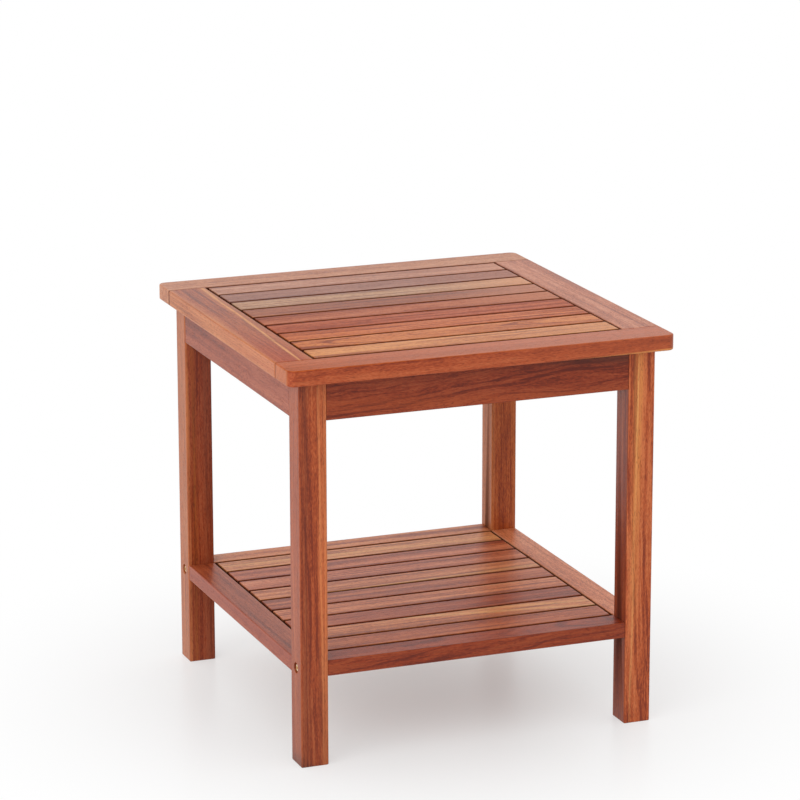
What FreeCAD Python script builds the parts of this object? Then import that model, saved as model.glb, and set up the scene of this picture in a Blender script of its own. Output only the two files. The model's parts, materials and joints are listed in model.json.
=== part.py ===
import FreeCAD, Part
import math
import os

# End table with a slatted top and a slatted lower shelf.
#
# Millimetres. The origin is on the floor, under the middle of the top. +X points to the
# right, +Y to the rear and +Z up. The table is the same on its left and right sides, and at
# its front and rear.
#
# How it goes together: two side frames, each of two legs, a side apron and a side shelf
# rail, are glued on dowels. The front and rear aprons are drawn against the legs by a corner
# block and a hanger bolt at each leg. The front and rear shelf rails are drawn against the
# legs by bolts that run through the leg into a barrel nut. The slats lie on cleats that lap
# under the frame beside them, and a batten ties them together in the middle.

# ---------------------------------------------------------------- driving dimensions

# The whole table
TABLE_WIDTH = 457.0
TABLE_DEPTH = 457.0
TABLE_HEIGHT = 457.0

# Top: a frame of two long boards and two stiles, filled with slats
TOP_THICKNESS = 18.0
TOP_FRAME_WIDTH = 44.5
TOP_OVERHANG = 17.0
TOP_CORNER_RADIUS = 9.0
TOP_EDGE_RADIUS = 1.5
TOP_SLAT_COUNT = 9

# Legs and aprons
LEG_SIDE = 32.0
APRON_HEIGHT = 45.0
APRON_THICKNESS = 18.0
RAIL_SETBACK = 0.5

# Shelf
SHELF_TOP_HEIGHT = 121.0
SHELF_THICKNESS = 18.0
SHELF_SLAT_COUNT = 9

# Slats, and the cleats and battens that carry them
SLAT_GAP = 3.0
CLEAT_WIDTH = 34.0
CLEAT_THICKNESS = 10.0
CLEAT_END_GAP = 0.5
SHELF_CLEAT_LAP = 14.0
SHELF_CLEAT_SETBACK = 9.5
FRAME_SCREW_FROM_END = 50.0

# Eased edges
LONG_EDGE_EASE = 1.3
END_EDGE_EASE = 0.9
LEG_EDGE_EASE = 1.6
LEG_FOOT_EASE = 1.2

# Corner blocks inside the aprons
BLOCK_THICKNESS = 22.0
BLOCK_ABOVE_APRON_BOTTOM = 3.0
BLOCK_BLUNT_END = 5.0
BLOCK_LEG_GAP = 3.0
LEG_FLAT_DEPTH = 6.0
LEG_FLAT_MARGIN = 4.0

# Hanger bolts, with a washer and a nut each
HANGER_DIAMETER = 6.0
HANGER_POINT_COVER = 15.25
HANGER_PAST_NUT = 4.4
HANGER_HOLE_DIAMETER = 7.0
WASHER_DIAMETER = 17.0
WASHER_THICKNESS = 1.6
NUT_ACROSS_FLATS = 10.0
NUT_HEIGHT = 5.0

# Shelf bolts, with a barrel nut each
BOLT_DIAMETER = 6.0
BOLT_PAST_BARREL_NUT = 4.5
BOLT_HEAD_DIAMETER = 10.5
BOLT_HEAD_HEIGHT = 3.3
BOLT_HEAD_RECESS = 1.2
BOLT_HEAD_ROUNDING = 2.4
BOLT_TIP_CHAMFER = 0.8
BOLT_HOLE_DIAMETER = 7.0
COUNTERBORE_DIAMETER = 12.2
SOCKET_ACROSS_FLATS = 4.0
SOCKET_DEPTH = 2.0
BARREL_NUT_DIAMETER = 10.0
BARREL_NUT_COVER = 2.0
BARREL_NUT_SETBACK = 24.0
BARREL_NUT_SLOT_WIDTH = 1.6
BARREL_NUT_SLOT_DEPTH = 1.5

# Dowels: those of the side frames, and those of the top's frame
DOWEL_DIAMETER = 8.0
DOWEL_CHAMFER = 0.8
SIDE_DOWEL_LENGTH = 30.0
SIDE_DOWEL_DEPTH_IN_LEG = 10.0
TOP_DOWEL_LENGTH = 40.0
APRON_DOWEL_FROM_EDGE = 9.5
SHELF_DOWEL_FROM_EDGE = 8.0
TOP_DOWEL_FROM_EDGE = 12.0

# Wood screws: slim ones in the cleats, battens and blocks, stout ones up through the aprons.
# A cover is the wood left between a screw's point and the far face of the board it bites into.
SLIM_SCREW_DIAMETER = 3.5
SLIM_SCREW_HEAD_DIAMETER = 7.0
SLIM_SCREW_HEAD_HEIGHT = 2.2
STOUT_SCREW_DIAMETER = 4.0
STOUT_SCREW_HEAD_DIAMETER = 8.0
STOUT_SCREW_HEAD_HEIGHT = 2.5
SCREW_POINT_LENGTH = 4.0
CROSS_SLOT_WIDTH = 0.9
CROSS_SLOT_SHARE_OF_HEAD = 0.6
CROSS_SLOT_DEPTH = 1.4
CLEAT_SCREW_COVER = 8.0
BLOCK_SCREW_COVER = 4.0
BLOCK_SCREW_FROM_END = 10.0
BLOCK_SCREW_SEAT = 6.0
APRON_SCREW_COVER = 6.0
APRON_SCREW_SEAT = 20.0
APRON_SCREW_FROM_END = 90.0

# Clearances
FASTENER_CLEARANCE = 0.1
DOWEL_CLEARANCE = 0.05
BLIND_END_CLEARANCE = 1.0

# ---------------------------------------------------------------- directions and heights

X_AXIS = FreeCAD.Vector(1, 0, 0)
Y_AXIS = FreeCAD.Vector(0, 1, 0)
Z_AXIS = FreeCAD.Vector(0, 0, 1)
SAME_DIRECTION = math.radians(2)
SAME_PLACE = 0.001
ROOT_TWO = math.sqrt(2)
SIDES = (-1, 1)
END_WORD = {-1: "front", 1: "rear"}
SIDE_WORD = {-1: "left", 1: "right"}

half_width = TABLE_WIDTH / 2
half_depth = TABLE_DEPTH / 2

top_underside = TABLE_HEIGHT - TOP_THICKNESS
top_middle_height = TABLE_HEIGHT - TOP_THICKNESS / 2
top_inner_x = half_width - TOP_FRAME_WIDTH
top_inner_y = half_depth - TOP_FRAME_WIDTH

leg_outer_x = half_width - TOP_OVERHANG
leg_outer_y = half_depth - TOP_OVERHANG
leg_inner_x = leg_outer_x - LEG_SIDE
leg_inner_y = leg_outer_y - LEG_SIDE
leg_centre_y = (leg_outer_y + leg_inner_y) / 2

apron_outer_x = leg_outer_x - RAIL_SETBACK
apron_outer_y = leg_outer_y - RAIL_SETBACK
apron_inner_x = apron_outer_x - APRON_THICKNESS
apron_inner_y = apron_outer_y - APRON_THICKNESS
apron_centre_x = (apron_outer_x + apron_inner_x) / 2
apron_centre_y = (apron_outer_y + apron_inner_y) / 2
apron_bottom = top_underside - APRON_HEIGHT

rail_outer_x = leg_outer_x - RAIL_SETBACK
rail_outer_y = leg_outer_y - RAIL_SETBACK
shelf_underside = SHELF_TOP_HEIGHT - SHELF_THICKNESS
shelf_middle_height = SHELF_TOP_HEIGHT - SHELF_THICKNESS / 2

top_cleat_underside = top_underside - CLEAT_THICKNESS
top_cleat_inner_x = apron_inner_x - CLEAT_WIDTH
top_slat_end_x = top_inner_x - SLAT_GAP
top_cleat_half_length = leg_inner_y - CLEAT_END_GAP

shelf_cleat_underside = shelf_underside - CLEAT_THICKNESS
shelf_cleat_outer_x = leg_inner_x + SHELF_CLEAT_LAP
shelf_cleat_inner_x = shelf_cleat_outer_x - CLEAT_WIDTH
shelf_slat_end_x = leg_inner_x - SLAT_GAP
shelf_cleat_half_length = leg_inner_y - SHELF_CLEAT_SETBACK

block_top = top_cleat_underside
block_bottom = apron_bottom + BLOCK_ABOVE_APRON_BOTTOM
block_middle_height = (block_top + block_bottom) / 2
block_face_from_arris = BLOCK_LEG_GAP - LEG_FLAT_DEPTH

# Distances along the line from a leg's inner arris to the table's middle, at 45 degrees
hanger_depth_in_leg = LEG_SIDE * ROOT_TWO - LEG_FLAT_DEPTH - HANGER_POINT_COVER
hanger_start = -LEG_FLAT_DEPTH - hanger_depth_in_leg
washer_start = block_face_from_arris + BLOCK_THICKNESS
nut_start = washer_start + WASHER_THICKNESS
hanger_length = nut_start + NUT_HEIGHT + HANGER_PAST_NUT - hanger_start

bolt_length_in_leg = LEG_SIDE - BOLT_HEAD_RECESS - BOLT_HEAD_HEIGHT
bolt_length = bolt_length_in_leg + BARREL_NUT_SETBACK + BARREL_NUT_DIAMETER / 2 + BOLT_PAST_BARREL_NUT
barrel_nut_length = SHELF_THICKNESS - 2 * BARREL_NUT_COVER

top_cleat_screw_length = CLEAT_THICKNESS + TOP_THICKNESS - CLEAT_SCREW_COVER
shelf_cleat_screw_length = CLEAT_THICKNESS + SHELF_THICKNESS - CLEAT_SCREW_COVER
block_screw_length = BLOCK_SCREW_SEAT + APRON_THICKNESS - BLOCK_SCREW_COVER
apron_screw_length = APRON_SCREW_SEAT + TOP_THICKNESS - APRON_SCREW_COVER

# ---------------------------------------------------------------- general shapes


def point(x, y, z):
    return FreeCAD.Vector(x, y, z)


def box(x_pair, y_pair, z_pair):
    """A box between two values of each coordinate, given in either order."""
    low = point(min(x_pair), min(y_pair), min(z_pair))
    high = point(max(x_pair), max(y_pair), max(z_pair))
    size = high - low
    return Part.makeBox(size.x, size.y, size.z, low)


def lathe(profile):
    """A solid turned about Z from (radius, height) points that start and end on the axis."""
    corners = [point(radius, 0, height) for radius, height in profile]
    wire = Part.makePolygon(corners + [corners[0]])
    return Part.Face(wire).revolve(point(0, 0, 0), Z_AXIS, 360)


def hexagon_prism(across_flats, height):
    """A prism on a regular hexagon, standing on the XY plane."""
    corner_radius = across_flats / math.sqrt(3)
    angles = [math.radians(60 * step) for step in range(7)]
    corners = [point(corner_radius * math.cos(a), corner_radius * math.sin(a), 0) for a in angles]
    return Part.Face(Part.makePolygon(corners)).extrude(Z_AXIS * height)


def set_along(shape, start, direction):
    """A copy of a shape made along +Z, moved to start and turned to point along direction."""
    copy = shape.copy()
    copy.Placement = FreeCAD.Placement(start, FreeCAD.Rotation(Z_AXIS, direction))
    return copy


def runs_along(edge, axis):
    """Whether an edge is straight and parallel to axis."""
    if not isinstance(edge.Curve, Part.Line):
        return False
    return edge.tangentAt(edge.FirstParameter).isParallel(axis, SAME_DIRECTION)


def beyond(edge, direction, distance):
    """Whether the middle of an edge lies further along a direction than a distance."""
    return edge.CenterOfMass.dot(direction) > distance + SAME_PLACE


def flat_end_faces(shape, axis):
    """The lowest and the highest flat face of a shape that are square to axis."""
    flat = [face for face in shape.Faces if isinstance(face.Surface, Part.Plane)]
    square = [face for face in flat if face.normalAt(0, 0).isParallel(axis, SAME_DIRECTION)]
    square.sort(key=lambda face: face.CenterOfMass.dot(axis))
    return square[0], square[-1]


def ease_ends(shape, axis, radius):
    """Round the edges of both end faces of a board whose long edges are already round."""
    lowest, highest = flat_end_faces(shape, axis)
    return shape.makeFillet(radius, lowest.OuterWire.Edges + highest.OuterWire.Edges)


def eased_board(board, grain_axis):
    """A plain board with its long edges and its ends eased."""
    long_edges = [edge for edge in board.Edges if runs_along(edge, grain_axis)]
    return ease_ends(board.makeFillet(LONG_EDGE_EASE, long_edges), grain_axis, END_EDGE_EASE)


def drilled(board, cutters):
    """The board with every cutter that reaches it taken out."""
    reaching = [cutter for cutter in cutters if cutter.BoundBox.intersect(board.BoundBox)]
    return board.cut(reaching) if reaching else board


# ---------------------------------------------------------------- fasteners


SLIM_SCREW = (SLIM_SCREW_DIAMETER / 2, SLIM_SCREW_HEAD_DIAMETER / 2, SLIM_SCREW_HEAD_HEIGHT)
STOUT_SCREW = (STOUT_SCREW_DIAMETER / 2, STOUT_SCREW_HEAD_DIAMETER / 2, STOUT_SCREW_HEAD_HEIGHT)


def wood_screw(kind, length):
    """A countersunk screw with a cross slot, its head's top at the origin, pointing along +Z."""
    radius, head_radius, head_height = kind
    body = lathe([(0, 0), (head_radius, 0), (radius, head_height),
                  (radius, length - SCREW_POINT_LENGTH), (0, length)])
    reach = head_radius * CROSS_SLOT_SHARE_OF_HEAD
    half_slot = CROSS_SLOT_WIDTH / 2
    slots = [box((-reach, reach), (-half_slot, half_slot), (0, CROSS_SLOT_DEPTH)),
             box((-half_slot, half_slot), (-reach, reach), (0, CROSS_SLOT_DEPTH))]
    return body.cut(slots)


def wood_screw_hole(kind, length, access=0.0):
    """What a wood screw takes out, with a bore of the head's size for access behind the head."""
    radius, head_radius, head_height = kind
    radius += FASTENER_CLEARANCE
    head_radius += FASTENER_CLEARANCE
    mouth = -access - FASTENER_CLEARANCE
    end = length + BLIND_END_CLEARANCE
    return lathe([(0, mouth), (head_radius, mouth), (head_radius, 0), (radius, head_height),
                  (radius, end), (0, end)])


def dowel(length):
    """A dowel with chamfered ends, from the origin along +Z."""
    radius = DOWEL_DIAMETER / 2
    return lathe([(0, 0), (radius - DOWEL_CHAMFER, 0), (radius, DOWEL_CHAMFER),
                  (radius, length - DOWEL_CHAMFER), (radius - DOWEL_CHAMFER, length), (0, length)])


def dowel_hole(length):
    """What a dowel takes out, with room past both of its ends."""
    radius = DOWEL_DIAMETER / 2 + DOWEL_CLEARANCE
    return Part.makeCylinder(radius, length + 2 * BLIND_END_CLEARANCE, point(0, 0, -BLIND_END_CLEARANCE))


def shelf_bolt():
    """A bolt with a rounded button head and a hexagon socket, its head's top at the origin."""
    head_radius = BOLT_HEAD_DIAMETER / 2
    radius = BOLT_DIAMETER / 2
    tip = BOLT_HEAD_HEIGHT + bolt_length
    body = lathe([(0, 0), (head_radius, 0), (head_radius, BOLT_HEAD_HEIGHT), (radius, BOLT_HEAD_HEIGHT),
                  (radius, tip - BOLT_TIP_CHAMFER), (radius - BOLT_TIP_CHAMFER, tip), (0, tip)])
    rim = [edge for edge in body.Edges
           if isinstance(edge.Curve, Part.Circle) and not beyond(edge, Z_AXIS, 0)]
    button_headed = body.makeFillet(BOLT_HEAD_ROUNDING, rim)
    return button_headed.cut(hexagon_prism(SOCKET_ACROSS_FLATS, SOCKET_DEPTH))


def shelf_bolt_hole():
    """The counterbore for the head, open outwards, and the hole for the bolt behind it."""
    counterbore = COUNTERBORE_DIAMETER / 2
    radius = BOLT_HOLE_DIAMETER / 2
    mouth = -BOLT_HEAD_RECESS - BLIND_END_CLEARANCE
    end = BOLT_HEAD_HEIGHT + bolt_length + BLIND_END_CLEARANCE
    return lathe([(0, mouth), (counterbore, mouth), (counterbore, BOLT_HEAD_HEIGHT),
                  (radius, BOLT_HEAD_HEIGHT), (radius, end), (0, end)])


def barrel_nut():
    """A barrel nut along Z about the origin, bored across along X, with a slot in its lower end."""
    radius = BARREL_NUT_DIAMETER / 2
    half = barrel_nut_length / 2
    body = Part.makeCylinder(radius, barrel_nut_length, point(0, 0, -half))
    bore_radius = BOLT_DIAMETER / 2 + FASTENER_CLEARANCE
    bore = Part.makeCylinder(bore_radius, 2 * BARREL_NUT_DIAMETER, point(-BARREL_NUT_DIAMETER, 0, 0), X_AXIS)
    half_slot = BARREL_NUT_SLOT_WIDTH / 2
    slot = box((-radius, radius), (-half_slot, half_slot), (-half, -half + BARREL_NUT_SLOT_DEPTH))
    return body.cut([bore, slot])


def barrel_nut_hole():
    """The blind hole that the barrel nut slides up into from the rail's underside."""
    radius = BARREL_NUT_DIAMETER / 2 + FASTENER_CLEARANCE
    below = SHELF_THICKNESS / 2 + BLIND_END_CLEARANCE
    above = barrel_nut_length / 2 + FASTENER_CLEARANCE
    return Part.makeCylinder(radius, below + above, point(0, 0, -below))


def hanger_bolt():
    """A headless bolt from its point in the leg, at the origin, along +Z."""
    radius = HANGER_DIAMETER / 2
    return lathe([(0, 0), (radius, SCREW_POINT_LENGTH), (radius, hanger_length - BOLT_TIP_CHAMFER),
                  (radius - BOLT_TIP_CHAMFER, hanger_length), (0, hanger_length)])


def ring(outline, thickness):
    """An outline's prism with the hanger bolt's hole through it."""
    bore = Part.makeCylinder(HANGER_DIAMETER / 2 + FASTENER_CLEARANCE, thickness)
    return outline.cut(bore)


# ---------------------------------------------------------------- places of the fasteners


def slat_spans(inner_y, count):
    """The front and rear edge of each slat, from the front, with the gap all round them."""
    width = (2 * inner_y - (count + 1) * SLAT_GAP) / count
    fronts = [-inner_y + SLAT_GAP + number * (width + SLAT_GAP) for number in range(count)]
    return [(front, front + width) for front in fronts]


top_slat_spans = slat_spans(top_inner_y, TOP_SLAT_COUNT)
shelf_slat_spans = slat_spans(leg_inner_y, SHELF_SLAT_COUNT)


def screw_lines(spans, cleat_centre_x):
    """Where the cleats' and the batten's screws enter the slats, as (x, y)."""
    return [(x, sum(span) / 2) for span in spans for x in (-cleat_centre_x, 0, cleat_centre_x)]


def edge_lines(lap_centre_x, half_length):
    """Where the cleats' screws enter the frame beside them, as (x, y)."""
    last = half_length - FRAME_SCREW_FROM_END
    return [(side * lap_centre_x, y) for side in SIDES for y in (-last, 0, last)]


def arris_point(side, end, distance, height):
    """A point on the line from a leg's inner arris to the table's middle, at 45 degrees."""
    step = distance / ROOT_TWO
    return point(side * (leg_inner_x - step), end * (leg_inner_y - step), height)


def inward(side, end):
    """The direction from a leg's inner arris to the middle, at 45 degrees."""
    return point(-side / ROOT_TWO, -end / ROOT_TWO, 0)


corners = [(side, end) for side in SIDES for end in SIDES]

top_slat_screw_places = screw_lines(top_slat_spans, (top_slat_end_x + top_cleat_inner_x) / 2)
top_frame_screw_places = edge_lines((top_inner_x + apron_inner_x) / 2, top_cleat_half_length)
top_frame_screw_places += [(0, end * (top_inner_y + apron_inner_y) / 2) for end in SIDES]
shelf_slat_screw_places = screw_lines(shelf_slat_spans, (shelf_slat_end_x + shelf_cleat_inner_x) / 2)
shelf_frame_screw_places = edge_lines((leg_inner_x + shelf_cleat_outer_x) / 2, shelf_cleat_half_length)

apron_screw_places = [(side * (leg_inner_x - APRON_SCREW_FROM_END), end * apron_centre_y)
                      for side, end in corners]
apron_screw_places += [(side * apron_centre_x, end * (leg_inner_y - APRON_SCREW_FROM_END))
                       for side, end in corners]
apron_screw_head_height = top_underside - APRON_SCREW_SEAT

# Corner blocks are laid out by their distances in from the inner faces of the two aprons.
arris_from_aprons = apron_inner_x - leg_inner_x
block_outer_reach = 2 * arris_from_aprons + block_face_from_arris * ROOT_TWO
block_inner_reach = block_outer_reach + BLOCK_THICKNESS * ROOT_TWO
block_end_reach = block_inner_reach - BLOCK_BLUNT_END
block_screw_reach = block_end_reach - BLOCK_SCREW_FROM_END


def from_aprons(side, end, reach_x, reach_y, height):
    """A point at the given distances in from the inner faces of a corner's two aprons."""
    return point(side * (apron_inner_x - reach_x), end * (apron_inner_y - reach_y), height)


def block_screw_places():
    """Start and direction of the two screws that hold each corner block to its aprons."""
    places = []
    for side, end in corners:
        to_end_apron = from_aprons(side, end, block_screw_reach, BLOCK_SCREW_SEAT, block_middle_height)
        to_side_apron = from_aprons(side, end, BLOCK_SCREW_SEAT, block_screw_reach, block_middle_height)
        places += [(to_end_apron, Y_AXIS * end), (to_side_apron, X_AXIS * side)]
    return places


def side_dowel_places():
    """Start and direction of the dowels that join the side rails and aprons to the legs."""
    heights = (apron_bottom + APRON_DOWEL_FROM_EDGE, top_underside - APRON_DOWEL_FROM_EDGE)
    offsets = (leg_inner_x + SHELF_DOWEL_FROM_EDGE, rail_outer_x - SHELF_DOWEL_FROM_EDGE)
    apron_places = []
    rail_places = []
    for side, end in corners:
        start_y = end * (leg_inner_y + SIDE_DOWEL_DEPTH_IN_LEG)
        apron_places += [(point(side * apron_centre_x, start_y, height), Y_AXIS * -end) for height in heights]
        rail_places += [(point(side * x, start_y, shelf_middle_height), Y_AXIS * -end) for x in offsets]
    return apron_places, rail_places


def top_dowel_places():
    """Start and direction of the dowels that join the stiles to the front and rear boards."""
    start_y = top_inner_y + TOP_DOWEL_LENGTH / 2
    offsets = (top_inner_x + TOP_DOWEL_FROM_EDGE, half_width - TOP_DOWEL_FROM_EDGE)
    return [(point(side * x, end * start_y, top_middle_height), Y_AXIS * -end)
            for side, end in corners for x in offsets]


def upward(places, height):
    """Turn (x, y) places into starts at a height, pointing up."""
    return [(point(x, y, height), Z_AXIS) for x, y in places]


def set_all(shape, places):
    return [set_along(shape, start, direction) for start, direction in places]


bolt_places = [(point(side * (leg_outer_x - BOLT_HEAD_RECESS), end * leg_centre_y, shelf_middle_height),
                X_AXIS * -side) for side, end in corners]
barrel_nut_places = [(point(side * (leg_inner_x - BARREL_NUT_SETBACK), end * leg_centre_y,
                            shelf_middle_height), Z_AXIS) for side, end in corners]
apron_dowel_places, rail_dowel_places = side_dowel_places()
top_screw_places = upward(top_slat_screw_places + top_frame_screw_places, top_cleat_underside)
shelf_screw_places = upward(shelf_slat_screw_places + shelf_frame_screw_places, shelf_cleat_underside)
stout_screw_places = upward(apron_screw_places, apron_screw_head_height)


def hanger_places(distance):
    """Start and direction of what sits on each hanger bolt, at a distance from the arris."""
    return [(arris_point(side, end, distance, block_middle_height), inward(side, end))
            for side, end in corners]


# ---------------------------------------------------------------- holes


def all_cutters():
    """Every hole in the table's wood, each at the fastener that it belongs to."""
    apron_access = apron_screw_head_height - apron_bottom
    hanger_pilot = Part.makeCylinder(HANGER_DIAMETER / 2 + FASTENER_CLEARANCE,
                                     hanger_depth_in_leg + BLIND_END_CLEARANCE)
    hanger_clearance = Part.makeCylinder(HANGER_HOLE_DIAMETER / 2, BLOCK_LEG_GAP + BLOCK_THICKNESS)
    cutters = set_all(wood_screw_hole(SLIM_SCREW, top_cleat_screw_length), top_screw_places)
    cutters += set_all(wood_screw_hole(SLIM_SCREW, shelf_cleat_screw_length), shelf_screw_places)
    cutters += set_all(wood_screw_hole(SLIM_SCREW, block_screw_length, BLOCK_THICKNESS), block_screw_places())
    cutters += set_all(wood_screw_hole(STOUT_SCREW, apron_screw_length, apron_access), stout_screw_places)
    cutters += set_all(dowel_hole(SIDE_DOWEL_LENGTH), apron_dowel_places + rail_dowel_places)
    cutters += set_all(dowel_hole(TOP_DOWEL_LENGTH), top_dowel_places())
    cutters += set_all(shelf_bolt_hole(), bolt_places)
    cutters += set_all(barrel_nut_hole(), barrel_nut_places)
    cutters += set_all(hanger_pilot, hanger_places(hanger_start - BLIND_END_CLEARANCE))
    cutters += set_all(hanger_clearance, hanger_places(-LEG_FLAT_DEPTH))
    return cutters


# ---------------------------------------------------------------- wooden pieces


def leg(side, end):
    """A square leg, eased, with a flat on its inner arris where the hanger bolt enters."""
    blank = box((side * leg_inner_x, side * leg_outer_x), (end * leg_inner_y, end * leg_outer_y),
                (0, top_underside))
    upright = [edge for edge in blank.Edges if runs_along(edge, Z_AXIS)]
    eased = blank.makeFillet(LEG_EDGE_EASE, upright)
    foot, _ = flat_end_faces(eased, Z_AXIS)
    eased = eased.makeFillet(LEG_FOOT_EASE, foot.OuterWire.Edges)
    flat_bottom = block_bottom - LEG_FLAT_MARGIN
    waste = Part.makeBox(LEG_SIDE, LEG_SIDE, top_underside - flat_bottom, point(-LEG_SIDE / 2, 0, 0))
    turn = FreeCAD.Rotation(Y_AXIS, inward(side, end))
    waste.Placement = FreeCAD.Placement(arris_point(side, end, -LEG_FLAT_DEPTH, flat_bottom), turn)
    return eased.cut(waste)


def corner_block(side, end):
    """A block across the corner between two aprons, its mitred ends flat on their faces."""
    reaches = [(block_outer_reach, 0), (block_end_reach, 0), (block_end_reach, BLOCK_BLUNT_END),
               (BLOCK_BLUNT_END, block_end_reach), (0, block_end_reach), (0, block_outer_reach)]
    outline = [from_aprons(side, end, reach_x, reach_y, block_bottom) for reach_x, reach_y in reaches]
    return Part.Face(Part.makePolygon(outline + [outline[0]])).extrude(Z_AXIS * (block_top - block_bottom))


def top_long_board(end):
    """The top's front or rear board: round corners, a rounded outer edge and an eased inner one."""
    inner_y = end * top_inner_y
    blank = box((-half_width, half_width), (inner_y, end * half_depth), (top_underside, TABLE_HEIGHT))
    outward = Y_AXIS * end
    outer_corners = [edge for edge in blank.Edges
                     if runs_along(edge, Z_AXIS) and beyond(edge, outward, top_inner_y)]
    rounded = blank.makeFillet(TOP_CORNER_RADIUS, outer_corners)
    rim = [edge for edge in rounded.Edges
           if not runs_along(edge, Z_AXIS) and beyond(edge, outward, top_inner_y)]
    rounded = rounded.makeFillet(TOP_EDGE_RADIUS, rim)
    inner_face, _ = flat_end_faces(rounded, outward)
    return rounded.makeFillet(END_EDGE_EASE, inner_face.OuterWire.Edges)


def top_stile(side):
    """The top's left or right stile: a rounded outer edge, an eased inner one and eased ends."""
    blank = box((side * top_inner_x, side * half_width), (-top_inner_y, top_inner_y),
                (top_underside, TABLE_HEIGHT))
    outward = X_AXIS * side
    outer = [edge for edge in blank.Edges
             if runs_along(edge, Y_AXIS) and beyond(edge, outward, top_inner_x)]
    rounded = blank.makeFillet(TOP_EDGE_RADIUS, outer)
    inner = [edge for edge in rounded.Edges
             if runs_along(edge, Y_AXIS) and not beyond(edge, outward, top_inner_x)]
    rounded = rounded.makeFillet(LONG_EDGE_EASE, inner)
    return ease_ends(rounded, Y_AXIS, END_EDGE_EASE)


def end_member(end, outer_y, inner_y, bottom, top):
    """An apron or shelf rail along X, between a front pair or a rear pair of legs."""
    board = box((-leg_inner_x, leg_inner_x), (end * inner_y, end * outer_y), (bottom, top))
    return eased_board(board, X_AXIS)


def side_member(side, outer_x, inner_x, bottom, top):
    """An apron or shelf rail along Y, between the two legs of a side frame."""
    board = box((side * inner_x, side * outer_x), (-leg_inner_y, leg_inner_y), (bottom, top))
    return eased_board(board, Y_AXIS)


def slats(name, spans, end_x, bottom, top):
    """The slats of the top or the shelf, numbered from the front."""
    return {f"{name}_{number}": eased_board(box((-end_x, end_x), span, (bottom, top)), X_AXIS)
            for number, span in enumerate(spans, start=1)}


def strip(x_pair, half_length, underside):
    """A cleat or batten along Y."""
    board = box(x_pair, (-half_length, half_length), (underside, underside + CLEAT_THICKNESS))
    return eased_board(board, Y_AXIS)


def wooden_pieces():
    """Every wooden board and block by its node's name, before it is drilled."""
    pieces = {}
    for side, end in corners:
        place = f"{END_WORD[end]}_{SIDE_WORD[side]}"
        pieces[f"leg_{place}"] = leg(side, end)
        pieces[f"corner_block_{place}"] = corner_block(side, end)
    for end in SIDES:
        word = END_WORD[end]
        pieces[f"top_board_{word}"] = top_long_board(end)
        pieces[f"apron_{word}"] = end_member(end, apron_outer_y, apron_inner_y, apron_bottom, top_underside)
        pieces[f"shelf_rail_{word}"] = end_member(end, rail_outer_y, leg_inner_y,
                                                  shelf_underside, SHELF_TOP_HEIGHT)
    for side in SIDES:
        word = SIDE_WORD[side]
        pieces[f"top_stile_{word}"] = top_stile(side)
        pieces[f"apron_{word}"] = side_member(side, apron_outer_x, apron_inner_x, apron_bottom, top_underside)
        pieces[f"shelf_rail_{word}"] = side_member(side, rail_outer_x, leg_inner_x,
                                                   shelf_underside, SHELF_TOP_HEIGHT)
        pieces[f"top_cleat_{word}"] = strip((side * top_cleat_inner_x, side * apron_inner_x),
                                            top_cleat_half_length, top_cleat_underside)
        pieces[f"shelf_cleat_{word}"] = strip((side * shelf_cleat_inner_x, side * shelf_cleat_outer_x),
                                              shelf_cleat_half_length, shelf_cleat_underside)
    half_strip = CLEAT_WIDTH / 2
    pieces["top_batten"] = strip((-half_strip, half_strip), apron_inner_y, top_cleat_underside)
    pieces["shelf_batten"] = strip((-half_strip, half_strip), shelf_cleat_half_length, shelf_cleat_underside)
    pieces.update(slats("top_slat", top_slat_spans, top_slat_end_x, top_underside, TABLE_HEIGHT))
    pieces.update(slats("shelf_slat", shelf_slat_spans, shelf_slat_end_x, shelf_underside, SHELF_TOP_HEIGHT))
    return pieces


def fastener_groups():
    """Every group of identical fasteners by its node's name, as lists of solids."""
    washer = ring(Part.makeCylinder(WASHER_DIAMETER / 2, WASHER_THICKNESS), WASHER_THICKNESS)
    nut = ring(hexagon_prism(NUT_ACROSS_FLATS, NUT_HEIGHT), NUT_HEIGHT)
    return {
        "top_slat_screws": set_all(wood_screw(SLIM_SCREW, top_cleat_screw_length), top_screw_places),
        "shelf_slat_screws": set_all(wood_screw(SLIM_SCREW, shelf_cleat_screw_length), shelf_screw_places),
        "corner_block_screws": set_all(wood_screw(SLIM_SCREW, block_screw_length), block_screw_places()),
        "apron_screws": set_all(wood_screw(STOUT_SCREW, apron_screw_length), stout_screw_places),
        "apron_dowels": set_all(dowel(SIDE_DOWEL_LENGTH), apron_dowel_places),
        "shelf_rail_dowels": set_all(dowel(SIDE_DOWEL_LENGTH), rail_dowel_places),
        "top_frame_dowels": set_all(dowel(TOP_DOWEL_LENGTH), top_dowel_places()),
        "shelf_bolts": set_all(shelf_bolt(), bolt_places),
        "shelf_barrel_nuts": set_all(barrel_nut(), barrel_nut_places),
        "hanger_bolts": set_all(hanger_bolt(), hanger_places(hanger_start)),
        "hanger_washers": set_all(washer, hanger_places(washer_start)),
        "hanger_nuts": set_all(nut, hanger_places(nut_start)),
    }


def main():
    os.makedirs("parts", exist_ok=True)
    cutters = all_cutters()
    for name, board in wooden_pieces().items():
        drilled(board, cutters).exportStep(f"parts/{name}.step")
    for name, solids in fastener_groups().items():
        Part.makeCompound(solids).exportStep(f"parts/{name}.step")


main()
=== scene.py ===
"""The end table's finished boards and hardware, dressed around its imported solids.

Everything is in metres and in the frame of the solids: the origin is on the floor under the middle of
the top, +X runs right along the slats, +Y to the rear and +Z up. Each board takes its place and size
from the solid that it stands for, and its grain is a solid pattern that runs on over its edges.
"""

import json
import logging
import math
import random
from collections.abc import Callable
from dataclasses import dataclass, replace
from enum import Enum
from typing import Self

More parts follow.
